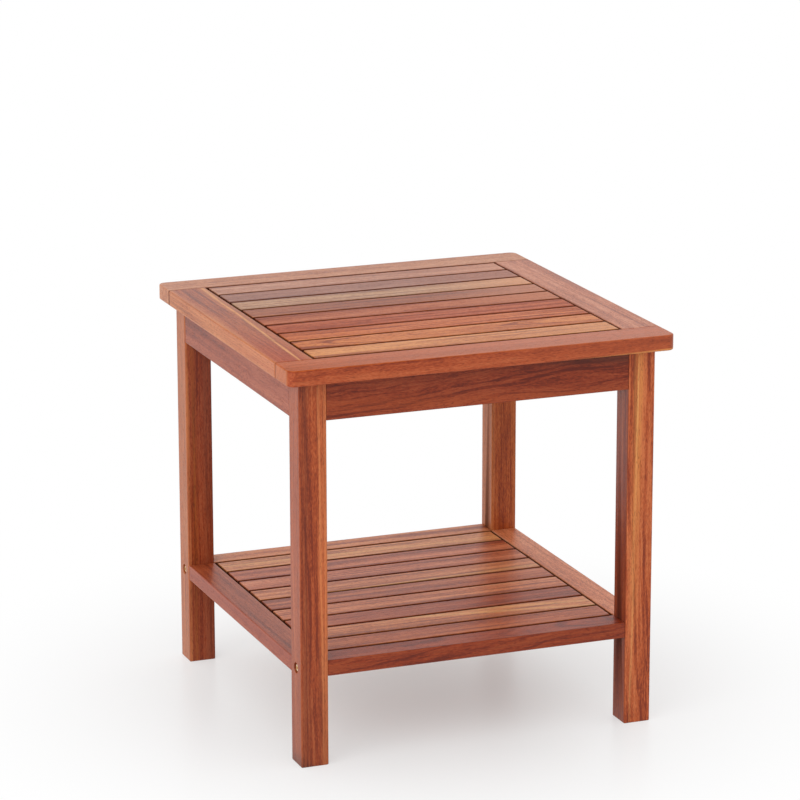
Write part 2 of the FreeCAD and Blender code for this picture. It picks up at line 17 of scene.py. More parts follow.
import bmesh
import bpy
from mathutils import Euler, Matrix, Vector


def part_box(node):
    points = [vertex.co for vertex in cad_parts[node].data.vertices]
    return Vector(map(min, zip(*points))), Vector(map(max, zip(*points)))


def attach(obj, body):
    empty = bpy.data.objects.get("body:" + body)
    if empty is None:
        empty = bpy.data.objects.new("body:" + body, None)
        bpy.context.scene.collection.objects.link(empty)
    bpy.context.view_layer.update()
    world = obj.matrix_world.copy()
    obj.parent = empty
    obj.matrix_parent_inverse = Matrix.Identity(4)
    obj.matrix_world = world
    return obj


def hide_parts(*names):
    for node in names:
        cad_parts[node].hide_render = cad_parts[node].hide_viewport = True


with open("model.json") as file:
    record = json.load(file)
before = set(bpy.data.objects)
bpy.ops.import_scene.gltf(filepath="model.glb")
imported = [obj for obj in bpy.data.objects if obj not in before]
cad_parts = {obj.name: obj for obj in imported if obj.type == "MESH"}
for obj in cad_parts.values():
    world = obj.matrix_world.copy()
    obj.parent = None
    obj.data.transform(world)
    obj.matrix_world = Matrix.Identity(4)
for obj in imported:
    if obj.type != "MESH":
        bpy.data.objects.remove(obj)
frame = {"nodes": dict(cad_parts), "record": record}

Piece = bpy.types.Object
Material = bpy.types.Material
Socket = bpy.types.NodeSocket
Triple = tuple[float, float, float]
Colour = tuple[float, float, float]
Span = tuple[float, float]
Value = Socket | float | Triple

MM = 0.001
ROOT_BODY = "root"
LOG = logging.getLogger("end_table")

RIGHT = (1, 0, 0)
LEFT = (-1, 0, 0)
REAR = (0, 1, 0)
FRONT = (0, -1, 0)
UP = (0, 0, 1)
ALL_ROUND = (RIGHT, LEFT, REAR, FRONT)
SIDES = {"front": FRONT, "rear": REAR, "left": LEFT, "right": RIGHT}

# Two places count as one within SAME_PLACE, two directions as parallel from the cosine PARALLEL on, and
# a cutter starts CUTTER_START outside the wood.
SAME_PLACE = 0.01 * MM
PARALLEL = 0.99
CUTTER_START = 1 * MM

# How many facets make a hole, the round of a corner, of a long edge and of an end, and up to which angle
# two facets are shaded as one round.
HOLE_STEPS = 48
CORNER_STEPS = 8
LONG_STEPS = 4
END_STEPS = 3
SMOOTH_ANGLE = math.radians(48)


# ---------------------------------------------------------------- named options


class Axis(Enum):
    """The direction in which a board's grain runs, with the turn that brings it to the pattern's X."""

    X = (0, (0.0, 0.0, 0.0))
    Y = (1, (0.0, 0.0, -math.pi / 2))
    Z = (2, (0.0, math.pi / 2, 0.0))
    DIAGONAL = (0, (0.0, 0.0, -math.pi / 4))
    ANTIDIAGONAL = (0, (0.0, 0.0, math.pi / 4))

    @property
    def index(self) -> int:
        """The coordinate that the grain runs along."""
        return self.value[0]

    @property
    def turn(self) -> Triple:
        """The pattern's turn about X, Y and Z, in radians."""
        return self.value[1]


class Heartwood(Enum):
    """The kinds of heartwood in the table, by the material slot that they belong to."""

    SALMON = "acacia_salmon"
    GOLD = "acacia_gold"
    ORANGE = "acacia_orange"
    RED = "acacia_red"
    MAROON = "acacia_maroon"
    MAUVE = "acacia_mauve"


class Figure(Enum):
    """How the growth rings cross a board's faces."""

    PLAIN = "plain"
    STRAIGHT = "straight"
    RIBBON = "ribbon"
    CATHEDRAL = "cathedral"
    CURLY = "curly"


# ---------------------------------------------------------------- patterns and marks


@dataclass(frozen=True)
class Pattern:
    """Noise that is drawn out along the grain, with features of one length and width in metres.

    Detail is how many finer layers it has, and kept the part of its range that is stretched to the full.
    """

    length: float
    width: float
    detail: float = 2.0
    kept: Span = (0.0, 1.0)


NOISE_MIDDLE = 0.5

# The grain's slow wander, and what lies in it from coarse to fine.
DRIFT = Pattern(0.12, 0.03)
LINES = Pattern(0.40, 0.0021, 2.0, (0.32, 0.68))
THREADS = Pattern(0.16, 0.0012, 1.0, (0.30, 0.70))
MOTTLE = Pattern(0.030, 0.008)
FIBRES = Pattern(0.0048, 0.0009)
PORES = Pattern(0.0060, 0.0006, 1.0, (0.58, 0.70))

# A streak sways as a whole, and fine breaks run through it.
SWAY = Pattern(0.12, 0.012, 3.0)
BREAKS = Pattern(0.10, 0.0013, 3.0, (0.38, 0.60))

WEAR_PATCHES = Pattern(0.03, 0.008, 3.0, (0.35, 0.62))

# The growth's range over which stripes show, the range in which it is late and dark, and the level from
# which late growth is measured.
STRIPES = (0.30, 0.70)
LATE_GROWTH = (0.50, 0.68)
LATE_MIDDLE = 0.25

# How far the boards' patterns and their rings are shifted apart, and how many times its wander the grain
# drifts and a streak sways.
PATTERN_SHIFTS = (2.0, 9.0)
RING_SHIFT = 0.37
DRIFT_GAIN = 3
SWAY_GAIN = 4

# What dark and light growth do to each channel of a board's colour, and pores to that of dark growth.
DARK_SHADE = (0.50, 0.38, 0.45)
LIGHT_SHADE = (1.32, 1.85, 2.40)
PORE_SHADE = (0.5, 0.5, 0.5)


@dataclass(frozen=True)
class Mark:
    """What a mark in the wood does: how far it tints the wood, roughens it and stands out of it."""

    tint: float
    roughness: float
    height: float = 0.0


FIBRE_MARK = Mark(1.45, 0.10, 1.0)
PORE_MARK = Mark(0.50, 0.15, -0.9)
WEAR_MARK = Mark(0.12, -0.05)
# The painted shade in the gaps and counterbores: how far it darkens the wood and roughens it.
GAP_SHADE_MARK = Mark(0.92, 0.35)

# How far the mottle tints the wood, how far stripes and threads do it as shares of what the lines do, and
# how high the late rings stand.
MOTTLE_TINT = 0.6
STRIPE_SHARE = -0.6
THREAD_SHARE = 0.8
RING_HEIGHT = -0.5

# The oil on the wood, and the relief that is left in it.
OIL_IOR = 1.34
OILED_ROUGHNESS = 0.30
OILED_GLOSS = 0.50
# The gloss that is left under the painted shade in the gaps.
GAP_SHADE_GLOSS = 0.04
OILED_RELIEF = 0.15 * MM
OILED_RELIEF_STRENGTH = 0.45

# The top's upper face gets a painted weaker reflection at its front left, where X + Y is at the start of the
# span, and less and less up to its end. Between the two depths below the face the dulling fades in.
DULL_DIAGONAL = (1, 1, 0)
DULL_SPAN = (-0.44, -0.05)
DULL_DEPTHS = (2.0 * MM, 0.2 * MM)
DULL_GLOSS = 0.06

# Wear reaches up to the margin from the edges. The walls of the gaps get painted shade, a near black that
# also dulls their gloss: by the first number at the wall's brink, and by the second more for each depth of
# its rounded edge. It is lighter in the gaps at the slats' ends than in those along the slats.
EDGE_WEAR = "edge_wear"
EDGE_MARGIN = 2.6 * MM
PAINTED_GAP_SHADE = "painted_gap_shade"
GAP_SHADE_COLOUR = (0.050, 0.012, 0.007)
END_GAP_SHADE = (0.0, 0.8)
LONG_GAP_SHADE = (0.3, 1.6)
# Painted shade on the counterbores' walls and floors.
COUNTERBORE_SHADE = 0.8


@dataclass(frozen=True)
class FigureSizes:
    """How large a figure's features are, in metres, and how strongly they show."""

    zone_length: float
    zone_width: float
    zone_strength: float
    line_strength: float
    ring_width: float
    ring_strength: float
    pith: Span
    pith_slope: Span
    wander: float


FIGURES = {
    Figure.PLAIN: FigureSizes(0.50, 0.014, 1.3, 0.26, 0.0045, 0.10, (0.32, 0.20), (0.02, 0.01), 0.0018),
    Figure.STRAIGHT: FigureSizes(0.40, 0.012, 1.9, 0.46, 0.0040, 0.16, (0.32, 0.20), (0.02, 0.01), 0.0023),
    Figure.RIBBON: FigureSizes(0.40, 0.009, 1.7, 0.52, 0.0032, 0.22, (0.34, 0.22), (0.03, 0.02), 0.0025),
    Figure.CATHEDRAL: FigureSizes(0.30, 0.014, 1.5, 0.46, 0.0036, 0.40, (0.004, -0.04), (0.02, 0.07), 0.004),
    Figure.CURLY: FigureSizes(0.14, 0.016, 1.5, 0.42, 0.0034, 0.36, (0.010, -0.045), (0.03, 0.09), 0.007),
}


@dataclass(frozen=True)
class Streak:
    """A band of another colour along the grain, between two planes that wander a little.

    The planes' normal, the band's middle along it and half of its width say where it lies. Strength is
    how much of its colour is taken, softness how much of the half width fades out, wander how far it
    sways, and broken how much of it the fine breaks take away. A fade gives the places along the grain
    between which the streak comes in.
    """

    normal: Triple
    middle: float
    half_width: float
    colour: Colour
    strength: float = 0.8
    softness: float = 0.8
    wander: float = 0.0020
    broken: float = 0.6
    fade: Span | None = None


# ---------------------------------------------------------------- node trees

# Where a Mix node keeps its sockets for colours.
MIX_FIRST = 6
MIX_SECOND = 7
MIX_RESULT = 2


def rgba(colour: Value) -> Value | tuple[float, float, float, float]:
    """A colour with its alpha, or a socket as it is."""
    return colour if isinstance(colour, Socket) else (*colour, 1.0)


class NodeSheet:
    """Adds nodes to the tree of a material or a world, and wires them up."""

    def __init__(self, owner: Material | bpy.types.World, output: str = "ShaderNodeOutputMaterial") -> None:
        """Starts a tree with nothing but its output.

        Args:
            owner: The material or the world.
            output: The type of its output node.
        """
        owner.use_nodes = True
        self.owner = owner
        self.tree = owner.node_tree
        self.tree.nodes.clear()
        self.output = self.add(output)

    def add(self, kind: str, **settings: object) -> bpy.types.Node:
        """Adds a node.

        Args:
            kind: The node's type.
            settings: The node's own properties.

        Returns:
            The new node.
        """
        node = self.tree.nodes.new(kind)
        for key, value in settings.items():
            setattr(node, key, value)
        return node

    def feed(self, socket: Socket, value: object) -> None:
        """Links a socket to an input, or sets the input's own value.

        Args:
            socket: The input.
            value: An output socket, or a number, colour or vector.
        """
        if isinstance(value, Socket):
            self.tree.links.new(value, socket)
        else:
            socket.default_value = value

    def object_place(self) -> Socket:
        """The socket of the place on the object."""
        return self.add("ShaderNodeTexCoord").outputs["Object"]

    def painted(self, attribute: str) -> Socket:
        """The socket of a number that is written on the mesh."""
        return self.add("ShaderNodeAttribute", attribute_name=attribute).outputs["Fac"]

    def math(self, operation: str, first: Value, second: Value = 0.0, clamp: bool = False) -> Socket:
        """Joins one or two numbers by arithmetic.

        Args:
            operation: The Math node's operation.
            first: The first number or socket.
            second: The second number or socket.
            clamp: Whether the result is kept between 0 and 1.

        Returns:
            The result's socket.
        """
        node = self.add("ShaderNodeMath", operation=operation, use_clamp=clamp)
        self.feed(node.inputs[0], first)
        self.feed(node.inputs[1], second)
        return node.outputs[0]

    def total(self, start: Value, *parts: tuple[Socket, float], middle: float = 0.0) -> Socket:
        """Adds weighted layers to a start.

        Args:
            start: The number or socket that they are added to.
            parts: Each layer's socket with its weight.
            middle: The level from which the layers are measured.

        Returns:
            The sum's socket.
        """
        for layer, weight in parts:
            if middle:
                layer = self.math("SUBTRACT", layer, middle)
            start = self.math("ADD", start, self.math("MULTIPLY", layer, weight))
        return start

    def vector(self, operation: str, first: Value, second: Value) -> Socket:
        """Joins two vectors by arithmetic.

        Args:
            operation: The Vector Math node's operation.
            first: The first vector or socket.
            second: The second vector or socket.

        Returns:
            The result's socket, which is a number for a length or a dot product.
        """
        node = self.add("ShaderNodeVectorMath", operation=operation)
        self.feed(node.inputs[0], first)
        self.feed(node.inputs[1], second)
        return node.outputs["Value" if operation in ("DOT_PRODUCT", "LENGTH") else "Vector"]

    def coordinates(self, place: Socket) -> tuple[Socket, Socket, Socket]:
        """Splits a place up.

        Args:
            place: The place's socket.

        Returns:
            The sockets of its X, Y and Z.
        """
        axes = self.add("ShaderNodeSeparateXYZ")
        self.feed(axes.inputs[0], place)
        return tuple(axes.outputs)

    def noise(self, place: Socket, pattern: Pattern, channels: str = "Fac") -> Socket:
        """Adds a pattern as it comes.

        Args:
            place: The coordinates' socket, with X along the grain.
            pattern: The pattern.
            channels: Fac for one channel, or Color for three.

        Returns:
            The noise's socket, about 0.5 on average.
        """
        node = self.add("ShaderNodeTexNoise")
        sizes = (pattern.length, pattern.width, pattern.width)
        self.feed(node.inputs["Vector"], self.vector("DIVIDE", place, sizes))
        node.inputs["Scale"].default_value = 1.0
        node.inputs["Detail"].default_value = pattern.detail
        return node.outputs[channels]

    def stretched(self, place: Socket, pattern: Pattern, to_low: float = 0.0,
                  to_high: float = 1.0) -> Socket:
        """Adds a pattern with the kept part of its range stretched to another.

        Args:
            place: The coordinates' socket, with X along the grain.
            pattern: The pattern.
            to_low: What the kept part's start becomes.
            to_high: What its end becomes.

        Returns:
            The stretched pattern's socket.
        """
        return self.spread(self.noise(place, pattern), *pattern.kept, to_low, to_high)

    def bands(self, distance: Socket, width: float) -> Socket:
        """Adds bands of uneven width and strength across a distance.

        Args:
            distance: The socket of the distance, in metres.
            width: About how wide a band is, in metres.

        Returns:
            The bands' socket, about 0.5 on average.
        """
        node = self.add("ShaderNodeTexNoise", noise_dimensions="1D")
        self.feed(node.inputs["W"], self.math("DIVIDE", distance, width))
        node.inputs["Scale"].default_value = 1.0
        return node.outputs["Fac"]

    def spread(self, value: Socket, low: float, high: float, to_low: float = 0.0,
               to_high: float = 1.0, smooth: bool = False) -> Socket:
        """Maps a number from one range to another, and keeps it in the new range.

        Args:
            value: The number's socket.
            low: The start of the old range.
            high: The end of the old range.
            to_low: What low becomes.
            to_high: What high becomes.
            smooth: Whether the ends of the range are eased.

        Returns:
            The result's socket.
        """
        node = self.add("ShaderNodeMapRange", interpolation_type="SMOOTHSTEP" if smooth else "LINEAR")
        for socket, number in zip(node.inputs[:5], (value, low, high, to_low, to_high)):
            self.feed(socket, number)
        return node.outputs[0]

    def blend(self, share: Value, first: Value, second: Value) -> Socket:
        """Mixes two colours.

        Args:
            share: How much of the second colour is taken.
            first: The first colour or its socket.
            second: The second colour or its socket.

        Returns:
            The mixed colour's socket.
        """
        node = self.add("ShaderNodeMix", data_type="RGBA")
        self.feed(node.inputs[0], share)
        self.feed(node.inputs[MIX_FIRST], rgba(first))
        self.feed(node.inputs[MIX_SECOND], rgba(second))
        return node.outputs[MIX_RESULT]

    def ramp(self, value: Socket, *stops: tuple[float, Colour]) -> Socket:
        """Turns a number into a colour.

        Args:
            value: The number's socket.
            stops: Places from 0 to 1, each with its colour.

        Returns:
            The colour's socket.
        """
        node = self.add("ShaderNodeValToRGB")
        elements = node.color_ramp.elements
        while len(elements) < len(stops):
            elements.new(0.5)
        for element, (place, colour) in zip(elements, stops):
            element.position = place
            element.color = rgba(colour)
        self.feed(node.inputs[0], value)
        return node.outputs[0]

    def bump(self, height: Socket, distance: float, strength: float) -> Socket:
        """Turns a height into a tilted normal.

        Args:
            height: The height's socket, from 0 to 1.
            distance: How far 1 stands out, in metres.
            strength: How much of the tilt is kept.

        Returns:
            The normal's socket.
        """
        node = self.add("ShaderNodeBump")
        node.inputs["Strength"].default_value = strength
        node.inputs["Distance"].default_value = distance
        self.feed(node.inputs["Height"], height)
        return node.outputs[0]

    def seen_rays(self) -> Socket:
        """Tells the rays that show the white surroundings from those that light the table.

        Returns:
            A socket that is 1 for rays from the camera, off a gloss or through glass, and else 0.
        """
        path = self.add("ShaderNodeLightPath")
        seen = self.math("MAXIMUM", path.outputs["Is Camera Ray"], path.outputs["Is Glossy Ray"])
        return self.math("MAXIMUM", seen, path.outputs["Is Transmission Ray"])

    def principled(self, **values: object) -> Socket:
        """Adds a Principled shader.

        Args:
            values: What each of its inputs gets, with an underscore for a space in its name.

        Returns:
            The shader's socket.
        """
        shader = self.add("ShaderNodeBsdfPrincipled")
        for key, value in values.items():
            self.feed(shader.inputs[key.replace("_", " ")], value)
        return shader.outputs[0]

    def surface(self, shader: Socket) -> Material:
        """Ends a material's tree in a shader, and gives the finished material."""
        self.feed(self.output.inputs["Surface"], shader)
        return self.owner


# ---------------------------------------------------------------- finishes


def shaded(colour: Colour, factors: Triple) -> Colour:
    """A colour with each of its channels multiplied by a factor."""
    return tuple(factor * channel for factor, channel in zip(factors, colour))


@dataclass(frozen=True)
class AcaciaFinish:
    """Oiled acacia, whose colour, figure and streaks differ from board to board."""

    heartwood: Heartwood
    colour: Colour
    grain: Axis
    seed: int
    figure: Figure = Figure.STRAIGHT
    streaks: tuple[Streak, ...] = ()
    # Whether the top's upper face gets the painted weaker reflection towards its front left.
    painted_dull: bool = False
    sheen: float = 1.0

    def material(self, name: str, centre: Vector) -> Material:
        """Makes the material of the board with this name and this middle."""
        return AcaciaSheet(name, self, centre).oiled()


class AcaciaSheet(NodeSheet):
    """The node tree of one oiled board.

    Place is the place on the object, own the board's own place in the noise, and wandering the same with
    the grain's wander. Growth, rings, fibres, pores and worn are the layers that lie there, and over them
    lies the painted shade of the gaps and counterbores.
    """

    def __init__(self, name: str, finish: AcaciaFinish, centre: Vector) -> None:
        """Lays out the grain, what has happened to the board since, and the painted shade of its gaps.

        Args:
            name: The board's name.
            finish: The board's finish.
            centre: The board's middle.
        """
        super().__init__(bpy.data.materials.new(f"{name}_oiled"))
        self.finish = finish
        self.sizes = FIGURES[finish.figure]
        self.place = self.object_place()
        along = self.turned_place(centre)
        luck = random.Random(finish.seed)
        self.own = self.vector("ADD", along, tuple(luck.uniform(*PATTERN_SHIFTS) for _ in range(3)))
        reach = DRIFT_GAIN * self.sizes.wander
        drift = self.vector("SUBTRACT", self.noise(self.own, DRIFT, "Color"), (NOISE_MIDDLE,) * 3)
        drift = self.vector("MULTIPLY", drift, (0.0, reach, reach))
        self.wandering = self.vector("ADD", self.own, drift)
        self.growth = self.grown(self.vector("ADD", along, drift))
        self.rings = self.spread(self.growth, *LATE_GROWTH, smooth=True)
        self.fibres = self.noise(self.wandering, FIBRES)
        self.pores = self.stretched(self.wandering, PORES)
        self.worn = self.math("MULTIPLY", self.painted(EDGE_WEAR), self.stretched(self.own, WEAR_PATCHES))
        self.painted_shade = self.painted(PAINTED_GAP_SHADE)

    def turned_place(self, centre: Vector) -> Socket:
        """The place from the board's middle, turned so that X runs along the grain.

        Args:
            centre: The board's middle.

        Returns:
            The turned place's socket.
        """
        turn = self.finish.grain.turn
        node = self.add("ShaderNodeMapping")
        node.inputs["Rotation"].default_value = turn
        node.inputs["Location"].default_value = -(Euler(turn).to_matrix() @ centre)
        self.feed(node.inputs["Vector"], self.place)
        return node.outputs[0]

    def grown(self, place: Socket) -> Socket:
        """Growth about a pith that leans through or past the board.

        Args:
            place: The socket of the place along, across and through the board.

        Returns:
            The growth's socket, about 0.5 on average and more in the dark late growth.
        """
        along, *across = self.coordinates(place)
        reaches = []
        for coordinate, pith, slope in zip(across, self.sizes.pith, self.sizes.pith_slope):
            lean = self.math("MULTIPLY", along, slope)
            offset = self.math("SUBTRACT", self.math("SUBTRACT", coordinate, pith), lean)
            reaches.append(self.math("MULTIPLY", offset, offset))
        radius = self.math("SQRT", self.math("ADD", *reaches))
        return self.bands(self.math("ADD", radius, RING_SHIFT * self.finish.seed), self.sizes.ring_width)

    def lightness(self) -> Socket:
        """Mixes the grain's layers.

        Returns:
            The socket of how light the growth is, from 0 to 1.
        """
        sizes = self.sizes
        zones = self.noise(self.wandering, Pattern(sizes.zone_length, sizes.zone_width, 1.0))
        light = self.total(NOISE_MIDDLE, (self.rings, -sizes.ring_strength), middle=LATE_MIDDLE)
        light = self.total(light, (zones, sizes.zone_strength),
                           (self.spread(self.growth, *STRIPES), STRIPE_SHARE * sizes.line_strength),
                           (self.stretched(self.wandering, LINES), sizes.line_strength),
                           (self.stretched(self.wandering, THREADS), THREAD_SHARE * sizes.line_strength),
                           (self.fibres, FIBRE_MARK.tint),
                           (self.noise(self.own, MOTTLE), MOTTLE_TINT), middle=NOISE_MIDDLE)
        return self.math("MAXIMUM", light, 0.0, clamp=True)

    def coloured(self) -> Socket:
        """Colours the growth, then lays the streaks, the pores, the wear and the painted gap shade over it.

        Returns:
            The colour's socket.
        """
        middle = self.finish.colour
        dark, light = shaded(middle, DARK_SHADE), shaded(middle, LIGHT_SHADE)
        colour = self.ramp(self.lightness(), (0.0, dark), (0.5, middle), (1.0, light))
        for streak in self.finish.streaks:
            colour = self.blend(self.cover(streak), colour, streak.colour)
        for layer, mark, tint in ((self.pores, PORE_MARK, shaded(dark, PORE_SHADE)),
                                  (self.worn, WEAR_MARK, light),
                                  (self.painted_shade, GAP_SHADE_MARK, GAP_SHADE_COLOUR)):
            colour = self.blend(self.math("MULTIPLY", layer, mark.tint), colour, tint)
        return colour

    def cover(self, streak: Streak) -> Socket:
        """How much of the wood a streak covers.

        Args:
            streak: The streak.

        Returns:
            The socket of the share, from 0 to 1.
        """
        across = self.vector("DOT_PRODUCT", self.place, streak.normal)
        sway = (self.noise(self.own, SWAY), SWAY_GAIN * streak.wander)
        off = self.total(self.math("SUBTRACT", across, streak.middle), sway, middle=NOISE_MIDDLE)
        core = streak.half_width * (1 - streak.softness)
        cover = self.spread(self.math("ABSOLUTE", off), streak.half_width, core,
                            0.0, streak.strength, smooth=True)
        cover = self.math("MULTIPLY", cover, self.stretched(self.own, BREAKS, 1 - streak.broken, 1.0))
        if streak.fade:
            along = self.coordinates(self.place)[self.finish.grain.index]
            cover = self.math("MULTIPLY", cover, self.spread(along, *streak.fade, smooth=True))
        return cover

    def gloss(self) -> Socket:
        """The gloss of the oil, less in the painted gap shade and where a weaker reflection is painted on
        the top.

        Returns:
            The gloss's socket.
        """
        gloss = self.spread(self.painted_shade, 0.0, 1.0, OILED_GLOSS, GAP_SHADE_GLOSS)
        if self.finish.painted_dull:
            gloss = self.math("MINIMUM", gloss, self.painted_dull_gloss())
        if self.finish.sheen < 1.0:
            gloss = self.math("MULTIPLY", gloss, self.finish.sheen)
        return gloss

    def painted_dull_gloss(self) -> Socket:
        """The gloss of the top's upper face, painted duller towards the front left corner for a weaker
        reflection there.

        Returns:
            The gloss's socket.
        """
        upper_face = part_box("top_board_front")[1].z
        depths = (upper_face - depth for depth in DULL_DEPTHS)
        diagonal = self.vector("DOT_PRODUCT", self.place, DULL_DIAGONAL)
        painted_dull = self.spread(diagonal, *DULL_SPAN, DULL_GLOSS, OILED_GLOSS)
        below = self.spread(self.vector("DOT_PRODUCT", self.place, UP), *depths, OILED_GLOSS, 0.0)
        return self.math("MAXIMUM", painted_dull, below)

    def oiled(self) -> Material:
        """Oils the board.

        Returns:
            The finished material.
        """
        rough = self.total(OILED_ROUGHNESS, (self.fibres, FIBRE_MARK.roughness),
                           (self.painted_shade, GAP_SHADE_MARK.roughness), (self.pores, PORE_MARK.roughness),
                           (self.worn, WEAR_MARK.roughness))
        height = self.total(0.0, (self.fibres, FIBRE_MARK.height), (self.rings, RING_HEIGHT),
                            (self.pores, PORE_MARK.height))
        return self.surface(self.principled(
            Base_Color=self.coloured(), Roughness=rough, IOR=OIL_IOR, Specular_IOR_Level=self.gloss(),
            Normal=self.bump(height, OILED_RELIEF, OILED_RELIEF_STRENGTH)))


@dataclass(frozen=True)
class PlainWoodFinish:
    """Planed wood with no finish on it, for what is out of sight."""

    light: Colour
    dark: Colour
    seed: int
    grain: Axis = Axis.Y
    zones: Pattern = Pattern(0.30, 0.012, 3.0)
    fibres: Pattern = Pattern(0.03, 0.0008, 3.0, (0.3, 0.7))
    lines: Pattern = Pattern(0.25, 0.0022)
    saw_marks: Pattern = Pattern(0.0016, 0.05, 1.0)
    zone_weight: float = 0.40
    fibre_weight: float = 0.20
    line_weight: float = 0.40
    contrast: Span = (0.38, 0.62)
    roughness: Span = (0.62, 0.80)
    saw_mark_height: float = 0.4
    relief: float = 0.2 * MM
    relief_strength: float = 0.5
    pattern_shift: Triple = (0.71, 0.37, 0.53)

    def material(self, name: str) -> Material:
        """Makes the material.

        Args:
            name: The material's name.

        Returns:
            The material.
        """
        sheet = NodeSheet(bpy.data.materials.new(name))
        turned = sheet.add("ShaderNodeMapping")
        turned.inputs["Rotation"].default_value = self.grain.turn
        turned.inputs["Location"].default_value = tuple(self.seed * shift for shift in self.pattern_shift)
        sheet.feed(turned.inputs["Vector"], sheet.object_place())
        along = turned.outputs[0]
        zones, fibres, lines, saw_marks = (
            sheet.noise(along, pattern) for pattern in (self.zones, self.fibres, self.lines, self.saw_marks))
        light = sheet.total(0.0, (zones, self.zone_weight), (fibres, self.fibre_weight),
                            (lines, self.line_weight))
        height = sheet.total(fibres, (saw_marks, self.saw_mark_height))
        return sheet.surface(sheet.principled(
            Base_Color=sheet.blend(sheet.spread(light, *self.contrast), self.dark, self.light),
            Roughness=sheet.spread(fibres, *self.fibres.kept, *self.roughness),
            Normal=sheet.bump(height, self.relief, self.relief_strength)))


@dataclass(frozen=True)
class MetalFinish:
    """Plated metal, turned or rolled, with a film of handling marks."""

    colour: Colour
    stain: Colour
    roughness: float
    clouds: Pattern = Pattern(0.006, 0.006, 4.0, (0.45, 0.75))
    marks: Pattern = Pattern(0.004, 0.0003, 3.0)
    stain_share: float = 0.6
    handled: Span = (0.7, 1.3)
    polished_by: float = 0.07
    dulled_by: float = 0.12
    relief: float = 0.02 * MM
    relief_strength: float = 0.4

    def material(self, name: str) -> Material:
        """Makes the material.

        Args:
            name: The material's name.

        Returns:
            The material.
        """
        sheet = NodeSheet(bpy.data.materials.new(name))
        place = sheet.object_place()
        clouds = sheet.noise(place, self.clouds)
        marks = sheet.noise(place, self.marks)
        stained = sheet.spread(clouds, *self.clouds.kept, 0.0, self.stain_share)
        rough = sheet.spread(sheet.math("ADD", clouds, marks), *self.handled,
                             self.roughness - self.polished_by, self.roughness + self.dulled_by)
        return sheet.surface(sheet.principled(
            Base_Color=sheet.blend(stained, self.colour, self.stain), Metallic=1.0, Roughness=rough,
            Normal=sheet.bump(marks, self.relief, self.relief_strength)))


BRASS = MetalFinish((0.95, 0.76, 0.47), (0.74, 0.55, 0.29), 0.28)
ZINC = MetalFinish((0.62, 0.63, 0.64), (0.42, 0.43, 0.44), 0.33)
HIDDEN_WOOD = PlainWoodFinish((0.45, 0.225, 0.105), (0.22, 0.090, 0.038), 7)
DOWEL_WOOD = PlainWoodFinish((0.64, 0.45, 0.26), (0.47, 0.30, 0.16), 5)


# ---------------------------------------------------------------- the bench


def select_only(piece: Piece) -> None:
    """Makes a piece the one thing that operators act on.

    Args:
        piece: The piece.
    """
    bpy.ops.object.select_all(action="DESELECT")
    piece.select_set(True)
    bpy.context.view_layer.objects.active = piece


def apply_place(piece: Piece) -> None:
    """Moves a piece's place, turn and size into its mesh."""
    select_only(piece)
    bpy.ops.object.transform_apply(location=True, rotation=True, scale=True)


def apply_modifier(piece: Piece, kind: str, **settings: object) -> None:
    """Adds a modifier and applies it.

    Args:
        piece: The piece.
        kind: The modifier's type.
        settings: The modifier's own properties.
    """
    select_only(piece)
    modifier = piece.modifiers.new(kind.title(), kind)
    for key, value in settings.items():
        setattr(modifier, key, value)
    bpy.ops.object.modifier_apply(modifier=modifier.name)


def start_from(primitive: Callable[..., object], **sizes: object) -> Piece:
    """Adds a primitive, with nothing else selected.

    Args:
        primitive: The operator that adds it.
        sizes: The operator's own settings.

    Returns:
        The new piece.
    """
    bpy.ops.object.select_all(action="DESELECT")
    primitive(**sizes)
    return bpy.context.active_object


def block(name: str, low: Vector, high: Vector) -> Piece:
    """A rough-sawn blank between two corners.

    Args:
        name: The piece's name.
        low: Its lowest corner.
        high: Its highest corner.

    Returns:
        The blank.
    """
    middle = (low + high) / 2
    piece = start_from(bpy.ops.mesh.primitive_cube_add, size=1.0, location=middle, scale=high - low)
    piece.name = piece.data.name = name
    apply_place(piece)
    return piece


def along_direction(start: Vector, direction: Vector) -> Matrix:
    """The move that takes the origin to start and +Z to a direction."""
    return Matrix.Translation(start) @ direction.to_track_quat("Z", "Y").to_matrix().to_4x4()


def cut_away(piece: Piece, cutter: Piece) -> None:
    """Takes a cutter's shape out of a piece, and puts the cutter away.

    Args:
        piece: The piece.
        cutter: The cutter, which is gone afterwards.
    """
    apply_place(cutter)
    apply_modifier(piece, "BOOLEAN", object=cutter, operation="DIFFERENCE", solver="EXACT")
    bpy.data.meshes.remove(cutter.data)


def drill(piece: Piece, start: Vector, direction: Vector, radius: float, depth: float) -> None:
    """Cuts a round hole into a piece.

    Args:
        piece: The piece.
        start: The middle of the hole's mouth, on the surface.
        direction: Where the hole goes.
        radius: The hole's radius.
        depth: How deep it goes.
    """
    cutter = start_from(bpy.ops.mesh.primitive_cylinder_add, vertices=HOLE_STEPS, radius=radius,
                        depth=depth + CUTTER_START)
    cutter.matrix_world = along_direction(start + direction * (depth - CUTTER_START) / 2, direction)
    cut_away(piece, cutter)


def runs_along(direction: Vector, axis: Axis) -> bool:
    """Whether a direction is that of an axis, either way."""
    return abs(direction[axis.index]) > PARALLEL


